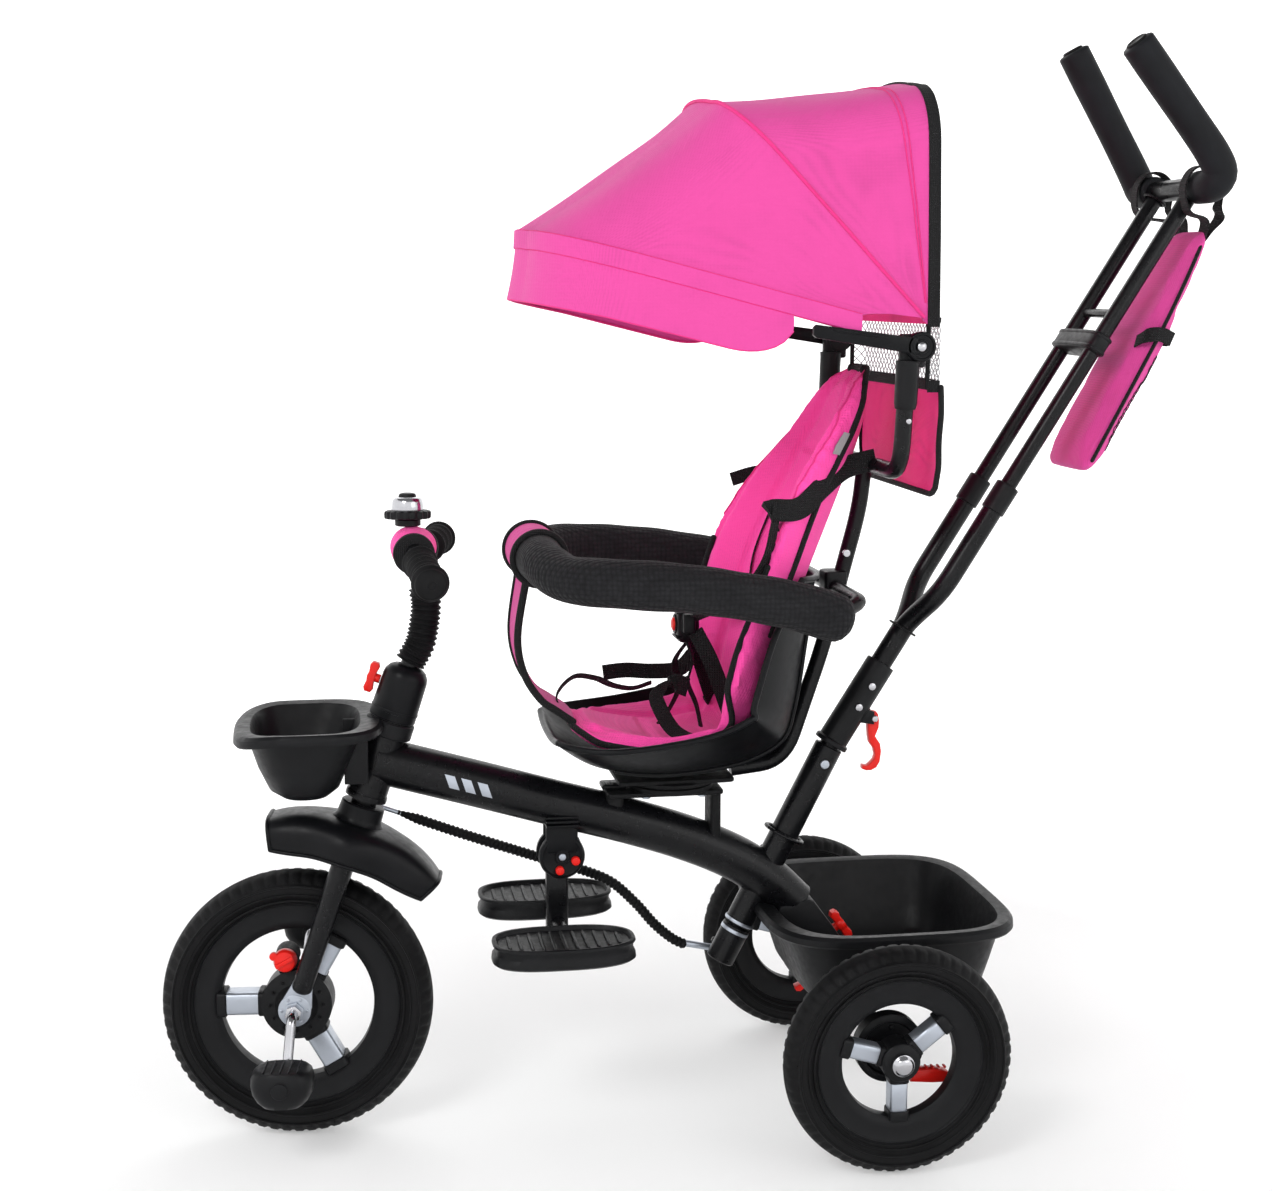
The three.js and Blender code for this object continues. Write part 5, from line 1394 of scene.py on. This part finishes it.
def taut(low, high, count, sag, ripple):
    """Rows of cloth stretched from one hoop to the next, dipping a little between them, with soft
    creases that gather towards the two feet."""
    middle = V(70, 0, 960)
    rows = []
    for i in range(count + 1):
        t = i / count
        row = []
        for j, (a, b) in enumerate(zip(low, high)):
            p = a.lerp(b, t)
            inward = (middle - p)
            inward.y *= 0.4
            inward.normalize()
            dip = sag * 4 * t * (1 - t)
            foot = min(j, len(low) - 1 - j) / 14
            share = abs(2 * j / (len(low) - 1) - 1)
            crease = math.sin(19 * t + 4 * math.sin(3 * share + t)) * share ** 3 * 0.7
            fold = ripple * 4 * t * (1 - t) * (wave_noise(p, 26) + crease) * min(1, foot + 0.2)
            row.append(p + inward * (dip + fold))
        rows.append(row)
    return rows


def cloth_piece(name, rows, body, material, thickness):
    """A canopy sheet of the given thickness, on its body if it has one."""
    shape = Shape()
    shape.sheet(rows, thickness)
    piece = shape.make(name, body, [material])
    return piece


def canopy():
    rear, middle, front = hoop("rear"), hoop("middle"), hoop("front")
    back_rows = taut(rear, middle, 34, 4.0, 2.6)
    front_rows = taut(middle, front, 34, 5.0, 2.8)
    rear_cloth = cloth_piece("canopy_cloth_rear", back_rows, None, PINK, -CLOTH_THICK)
    front_cloth = cloth_piece("canopy_cloth_front", front_rows, None, PINK,
                              -CLOTH_THICK)
    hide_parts("canopy_rear", "canopy_middle")
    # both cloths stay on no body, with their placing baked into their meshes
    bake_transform(rear_cloth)
    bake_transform(front_cloth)
    # seams and bindings
    seam = Shape()
    seam.tube([p + V(0.6, 0, 0.9) for p in middle], 2.1, sides=10)
    seam.make("canopy_seam", "canopy_middle", [THREAD])
    trim = Shape()
    trim.ribbon([p + V(-3, 0, 0) for p in rear], 13, 2.6, across=(1, 0, 0.05), step=6)
    for k in (5, 6):
        trim.tube([p + (p - V(60, 0, 990)).normalized() * 0.4 for p in back_rows[k][3:-3]], 0.8, 1,
                  sides=6)
    trim.make("canopy_rear_binding", "seat", [BINDING, THREAD])
    back = []
    for i in range(13):
        t = i / 12
        row = []
        for p in rear[6:-6]:
            row.append(V(p.x - 2 + 3 * math.sin(PI * t), p.y * 0.988, p.z * (1 - t) + 900 * t))
        back.append(row)
    cloth_piece("canopy_back_curtain", back, "seat", PINK_DEEP, CLOTH_THICK)
    visor(front)
    canopy_arms()


def visor(front):
    """A hem band round the front hoop and a peak below it that deepens towards the nose."""
    band, peak = [], []
    for k in range(4):
        band.append([p + V(0.35 * k, math.copysign(0.2 * k, p.y), -6.2 * k) for p in front])
    for k in range(10):
        t = k / 9
        row = []
        for p in front:
            reach = max(0, min(1, (p.x - 108) / 70))
            drop = 2 + 50 * math.sqrt(1 - (1 - reach) ** 2) + 4 * max(0, (p.x - 300) / 80)
            out = V(0.9, 0.25 * p.y / 160, 0) * (11 * t * max(0, (p.x - 150) / 230))
            roll = -2.5 * math.sin(PI * t)
            wobble = 1.2 * math.sin(p.x / 31 + p.y / 23) * t
            row.append(p + out + V(roll * 0.4, wobble * 0.6, -17 - drop * t))
        peak.append([q for q, p in zip(row, front) if p.x > 104])
    top = cloth_piece("canopy_hem_band", band, "canopy_front", PINK, 2.6)
    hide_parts("canopy_front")
    cloth_piece("canopy_peak", peak, "canopy_front", PINK, 1.6)
    trim = Shape()
    for row, size in ((band[0], 1.2), (band[-1], 1.5)):
        trim.tube(row, size, sides=8)
    trim.tube(peak[-1], 1.5, sides=8, dome=1)
    trim.make("canopy_front_hoop", "canopy_front", [THREAD])


def canopy_arms():
    """Hinge discs and slotted arms that carry the front hoop."""
    shape = Shape()
    for _, side in LEFT_RIGHT:
        low, high = sorted((side * 161.2, side * 169))
        disc = [(4, 0), (14.4, 0), (15.5, 1), (15.5, 6.4), (14.4, 7.8), (12.6, 7.8), (12, 6.6),
                (7.4, 6.6), (7, 7.8), (4, 7.8), (4, 0)]
        shape.turned(disc, (HINGE.x, side * 161.2, HINGE.z), (0, side, 0), sides=64)
        shape.plate([(-20, 869), (88, 886.5), (91, 889), (91, 897), (88, 900), (-20, 886)], low,
                    high)
        bar = Matrix.Rotation(-math.atan2(17, 110), 4, "Y")
        face = high if side > 0 else low
        shape.block((14, face - 1, 878.8), (74, face + 1, 881.2), corner=1.4,
                    local=Matrix.Translation(HINGE) @ bar @ Matrix.Translation(-HINGE))
        shape.turned([(0.01, 2.2), (3, 2), (4.6, 0.6), (4.8, -1), (0.01, -1)],
                     (HINGE.x, side * 168.4, HINGE.z), (0, side, 0), 1, 32)
    shape.make("canopy_arms", "canopy_front", [SATIN, CHROME], ["canopy_front"])


# ---------------------------------------------------------------- push bar
def push_shaft():
    shape = Shape()
    shape.rod(on_push(-131), on_push(180), 11.5, sides=36)
    shape.turned([(0.01, 0), (15, 0), (16.4, 1.4), (16.4, 44), (15.6, 45), (0.01, 45)],
                 on_push(-133), PUSH_AXIS, sides=44)
    shape.turned([(16.2, 0), (17, 0.4), (17, 4), (16.2, 4.4), (16.2, 0)], on_push(-96), PUSH_AXIS,
                 1, 44)
    link_arm(shape, on_push(-122), PUSH_AXIS, on_push(-122, LINK_Y))
    shape.make("push_shaft_tube", "push_bar", [STEEL, SILVER], ["push_shaft"])


LEVER = on_bar(54, 0, 26)


def push_lower():
    shape = Shape()
    shape.turned([(12, 0), (19, 0), (20, 1), (20, 5), (18.6, 6.4), (17.2, 7), (17, 108),
                  (16.2, 110), (12, 110), (12, 0)], on_bar(2.6), BAR_AXIS, 1, 52)
    shape.rod(on_bar(100), on_bar(162), 12.5)
    for _, side in LEFT_RIGHT:
        path = bent([on_bar(140), on_bar(168, side * 4), on_bar(215, side * BAR_SPACING),
                     on_bar(BAR_COLLAR, side * BAR_SPACING)], 24)
        shape.tube(path, 11.5, sides=36)
        shape.turned([(9.7, 0), (12.4, 0), (13.5, 1.2), (13.5, 32.8), (12.4, 34), (9.7, 34),
                      (9.7, 0)],
                     on_bar(BAR_COLLAR - 34, side * BAR_SPACING), BAR_AXIS, 1, 40)
        low, high = sorted((side * 6, side * 10))
        shape.plate([(LEVER.x, LEVER.z - 7), (LEVER.x + 24, LEVER.z - 3),
                     (LEVER.x + 16, LEVER.z + 14), (LEVER.x, LEVER.z + 8)], low, high, 1)
    weld(shape, on_bar(159), BAR_AXIS, 12.2, 1.3)
    for d in (84, 56):
        head = on_bar(d, 16.6)
        shape.turned([(4.8, -1), (4.8, 1), (4, 2.6), (2, 3.4), (0.01, 3.5)], head, (0, 1, 0), 2, 24)
    shape.turned([(4, -2), (4, 1), (3, 2.2), (0.01, 2.4)], LEVER + V(0, 10, 0), (0, 1, 0), 2, 24)
    shape.make("push_lower_fork", "push_bar", [STEEL, PLASTIC, CHROME], ["push_lower"])
    lever = Shape()
    outline = [(6, 4), (3.6, 7), (0, 7.8), (-3.6, 7), (-6, 4), (-7.4, -4), (-7, -12), (-3, -22),
               (-9, -31), (-10.4, -40), (-9, -52), (-5, -59), (1, -62), (7, -62), (12, -60),
               (12, -55), (6, -56), (2, -53), (-1.6, -49), (-3, -44), (-1, -36), (4, -29),
               (5.4, -22), (6.4, -10)]
    lever.plate([(LEVER.x + x, LEVER.z + z) for x, z in outline], -5.5, 5.5, edge=1.8)
    lever.make("push_lever_hook", "push_lever", [RED], ["push_lever"])


def push_upper():
    shape = Shape()
    for _, side in LEFT_RIGHT:
        shape.rod(on_bar(BAR_COLLAR - 34, side * BAR_SPACING), on_bar(BAR_TOP, side * BAR_SPACING),
                  9.2, sides=32)
        weld(shape, on_bar(BAR_TOP - 11, side * BAR_SPACING), BAR_AXIS, 9.4, 1.6)
    shape.rod(on_bar(BAR_TOP, -58), on_bar(BAR_TOP, 58), 12)
    shape.rod(on_bar(580, -BAR_SPACING), on_bar(580, BAR_SPACING), 5, sides=24)
    turn = Matrix.Translation(on_bar(541)) @ Matrix.Rotation(-BAR_TILT, 4, "Y")
    shape.block((-13.5, -BAR_SPACING - 13, -12), (13.5, BAR_SPACING + 13, 12), 1, corner=7,
                local=turn)
    for z in (-8, 8):
        shape.block((-14.2, -BAR_SPACING - 13.6, z - 2), (14.2, BAR_SPACING + 13.6, z + 2), 1,
                    corner=7, local=turn)
    shape.make("push_upper_tubes", "push_top", [STEEL, PLASTIC], ["push_upper"])
    for name, side in LEFT_RIGHT:
        root = on_bar(BAR_TOP, side * 58.4)
        knee = root + V(-8 if side > 0 else 6, side * 40, 18)
        top = root + (V(98, side * 46, 146) if side > 0 else V(86, side * 46, 160))
        grip = Shape()
        line = spaced(bent([root, root + V(0, side * 36, 0), knee, top], 42), 4)
        grip.tube(line, lambda t: 18.1 + 0.3 * math.sin(9 * t), sides=48, dome=4)
        tip = (line[-1] - line[-2]).normalized()
        grip.turned([(0.01, 4.4), (8, 4.3), (9, 5), (10.5, 5.2), (12, 4.2), (12, 2)], line[-1], tip,
                    1, 40)
        grip.make("push_grip_%s_foam" % name, "push_top", [FOAM, MATT], ["push_grip_" + name],
                  sharp=70)


def push_bag():
    """A slim zipped pouch that hangs behind the bar from a webbing loop, with a net pocket."""
    top, foot = V(-396, 0, 1004), V(-252, 0, 733)
    length = (top - foot).length
    turn = Matrix.Translation(top.lerp(foot, 0.5)) @ Matrix.Rotation(
        -math.atan2(foot.x - top.x, top.z - foot.z), 4, "Y")
    shape = Shape(turn)
    half = length / 2
    shape.stack([(-5, 6, 46, -half, 3.4), (-9, 9, 54, -half + 6, 3.6), (-12, 11, 57, -half + 24, 4),
                 (-15, 11, 58, -30, 4), (-14, 10, 57, 20, 4), (-9, 8, 54, half * 0.55, 4),
                 (-5, 5, 46, half - 14, 3.6), (-3, 3, 36, half, 3.4)],
                count=80)
    bag = shape.make("push_bag_pouch", "push_top", [PINK], ["push_bag"])
    puff(bag, 0.0045, 3.5, 0.004)
    seams = [[turn @ V(x, y, z) for z in range(-130, 131, 20)] for x in (-12, 12)
             for y in (-52, 52)]
    press_seams(bag, seams, 7, 2.5)
    trim = Shape(turn)
    for _, side in LEFT_RIGHT:
        trim.tube([V(0, side * (59 - 22 * max(0, z / 150) ** 2), z) for z in range(-138, 136, 6)],
                  2.2, sides=10, dome=2)
    trim.ribbon([V(-16.5, y, 22) for y in range(-57, 58, 12)], 16, 2, across=(0.1, 0, 1))
    trim.ribbon(smooth([V(-16, 58, 22), V(0, 62, 20), V(12.5, 58, 12), V(13.5, 40, 4)]), 16, 2,
                across=(0.05, 0, 1))
    trim.make("push_bag_trim", "push_top", [WEBBING])
    straps = Shape()
    for _, side in LEFT_RIGHT:
        y = side * 64
        bar = on_bar(BAR_TOP, y)
        loop = smooth([V(-393, side * 28, 994), V(-386, side * 44, 1012), bar + V(16, 0, -26),
                       bar + V(22.5, 0, 0), bar + V(12, 0, 19.5), bar + V(-8, 0, 21.5),
                       bar + V(-22, 0, 6), bar + V(-20, 0, -20), V(-402, side * 46, 1014),
                       V(-397, side * 28, 996)])
        straps.ribbon(loop, 17, 1.8)
    straps.make("push_bag_loops", "push_top", [WEBBING])
    net = Shape()
    for i in range(11):
        for k in range(11):
            y, z = -50 + 10 * i - 5, -120 + 11 * k
            for dy in (-5, 5):
                thread = [V(-20, y + 5, z), V(-20, y + 5 + dy, z + 5.5), V(-20, y + 5, z + 11)]
                net.tube(laid_on(bag, [turn @ p for p in thread], 0.4), 0.5, sides=4)
    net.make("push_bag_net", "push_top", [BINDING])


def steering_rod():
    """A corrugated sleeve over the rod, tapered at the front, with an eye at each end."""
    y = LINK_Y
    line = spaced(smooth([V(514, y, 352), V(440, y, 323), V(355, y, 292), V(301, y, 273),
                          V(269, y, 257), V(241, y, 230), V(221, y, 206), V(200, y, 187),
                          V(184, y, 178)]), 1.3)
    shape = Shape()

    def size(t):
        taper = min(1, 0.45 + t * 9)
        return (5.6 + 0.7 * math.cos(2 * PI * t * len(line) * 1.3 / 5.4)) * taper
    shape.tube(line, size, sides=24, dome=2)
    front_eye, rear_eye = on_head(230, 0, y), on_push(-130.5, y)
    shape.rod(V(508, y, 349.6), front_eye, 2.6, slot=1, sides=20)
    shape.rod(V(190, y, 181), rear_eye, 4, slot=1, sides=20)
    for eye, axis in ((front_eye, STEER_AXIS), (rear_eye, PUSH_AXIS)):
        shape.turned([(3.4, -2.5), (6.4, -2.5), (7, -1.8), (7, 1.8), (6.4, 2.5), (3.4, 2.5),
                      (3.4, -2.5)],
                     eye, axis, 1, 32)
    shape.rod(rear_eye, rear_eye + PUSH_AXIS * 13, 3, slot=1, sides=20)
    shape.make("steering_rod_sleeve", "steering_rod", [RUBBER, SILVER], ["steering_rod"])


# ---------------------------------------------------------------- stage, light and camera
FLOOR_Z, FLOOR_FLAT, WALL_CURVE, WALL_TOP = -0.6, 3000, 1500, 4200
EYE, AIM, FOCAL = V(601.5, 2120.5, 933.9), V(247.3, 0, 598.3), 55.2


def stage():
    """A round pale floor that curves up into a wall all round."""
    profile = [(0.01, FLOOR_Z), (FLOOR_FLAT, FLOOR_Z)]
    profile += [(FLOOR_FLAT + WALL_CURVE * math.sin(a), WALL_CURVE * (1 - math.cos(a)) + FLOOR_Z)
                for a in (PI / 2 * k / 16 for k in range(1, 17))]
    profile.append((FLOOR_FLAT + WALL_CURVE, WALL_TOP))
    shape = Shape()
    shape.turned(profile, (190, 0, 0), (0, 0, 1), sides=96)
    material, nodes, links, shader = nodes_of("studio_white")
    coords = nodes.new("ShaderNodeTexCoord")
    slow = blotches(nodes, links, coords, 3, 2)
    coloured(nodes, links, slow, (0.70, 0.70, 0.70), (0.73, 0.73, 0.73), shader)
    set_inputs(shader, ("Roughness", 0.9), ("Specular IOR Level", 0.1),
               ("Emission Color", (1, 1, 1, 1)))
    # the floor glows more with distance, so that it meets a white sky
    away = nodes.new("ShaderNodeVectorMath")
    away.operation = "LENGTH"
    links.new(coords.outputs["Object"], away.inputs[0])
    glow = nodes.new("ShaderNodeMapRange")
    set_inputs(glow, ("From Min", 0.9), ("From Max", 2.2), ("To Min", 0.27), ("To Max", 0.75))
    links.new(away.outputs["Value"], glow.inputs["Value"])
    links.new(glow.outputs["Result"], shader.inputs["Emission Strength"])
    floor = shape.make("studio_floor", None, [material])
    for polygon in floor.data.polygons:
        polygon.flip()


def area_light(name, place, target, size, power):
    light = bpy.data.lights.new(name, "AREA")
    light.shape = "RECTANGLE"
    light.size, light.size_y = size
    light.energy = power
    lamp = bpy.data.objects.new(name, light)
    lamp.location = DATUM @ Vector(place)
    lamp.rotation_euler = (DATUM @ Vector(target) - lamp.location).to_track_quat("-Z",
                                                                                 "Y").to_euler()
    bpy.context.scene.collection.objects.link(lamp)


def lights():
    world = bpy.data.worlds.new("studio_sky")
    world.use_nodes = True
    set_inputs(world.node_tree.nodes["Background"], ("Color", (1, 1, 1, 1)), ("Strength", 0.3))
    bpy.context.scene.world = world
    area_light("key", (1700, 1900, 2300), (250, 0, 500), (0.9, 0.9), 24)
    area_light("fill", (-1500, 2200, 1500), (200, 0, 500), (1.6, 1.2), 8)
    area_light("back", (300, -1900, 2300), (200, 0, 600), (1.8, 1.0), 12)


def camera():
    lens = bpy.data.cameras.new("view")
    lens.lens, lens.sensor_width, lens.sensor_fit = FOCAL, 36, "HORIZONTAL"
    lens.clip_start, lens.clip_end = 0.05, 50
    eye = bpy.data.objects.new("view", lens)
    eye.location = DATUM @ EYE
    eye.rotation_euler = (DATUM @ AIM - eye.location).to_track_quat("-Z", "Y").to_euler()
    bpy.context.scene.collection.objects.link(eye)
    bpy.context.scene.camera = eye


# ---------------------------------------------------------------- every piece, then the stage
main_frame()
rear_frame()
rear_axle()
seat_mount()
front_basket()
rear_bucket()
footrest()
fork()
fender()
stem()
bellows()
grips()
handlebar_pad()
bell()
wheels()
crank_and_pedals()
brake_pedals()
seat_shell()
harness(seat_cushion())
back_frame()
rear_pocket()
guards()
crotch()
canopy()
push_shaft()
push_lower()
push_upper()
push_bag()
steering_rod()
stage()
lights()
camera()
bpy.context.scene.view_settings.view_transform = "Standard"
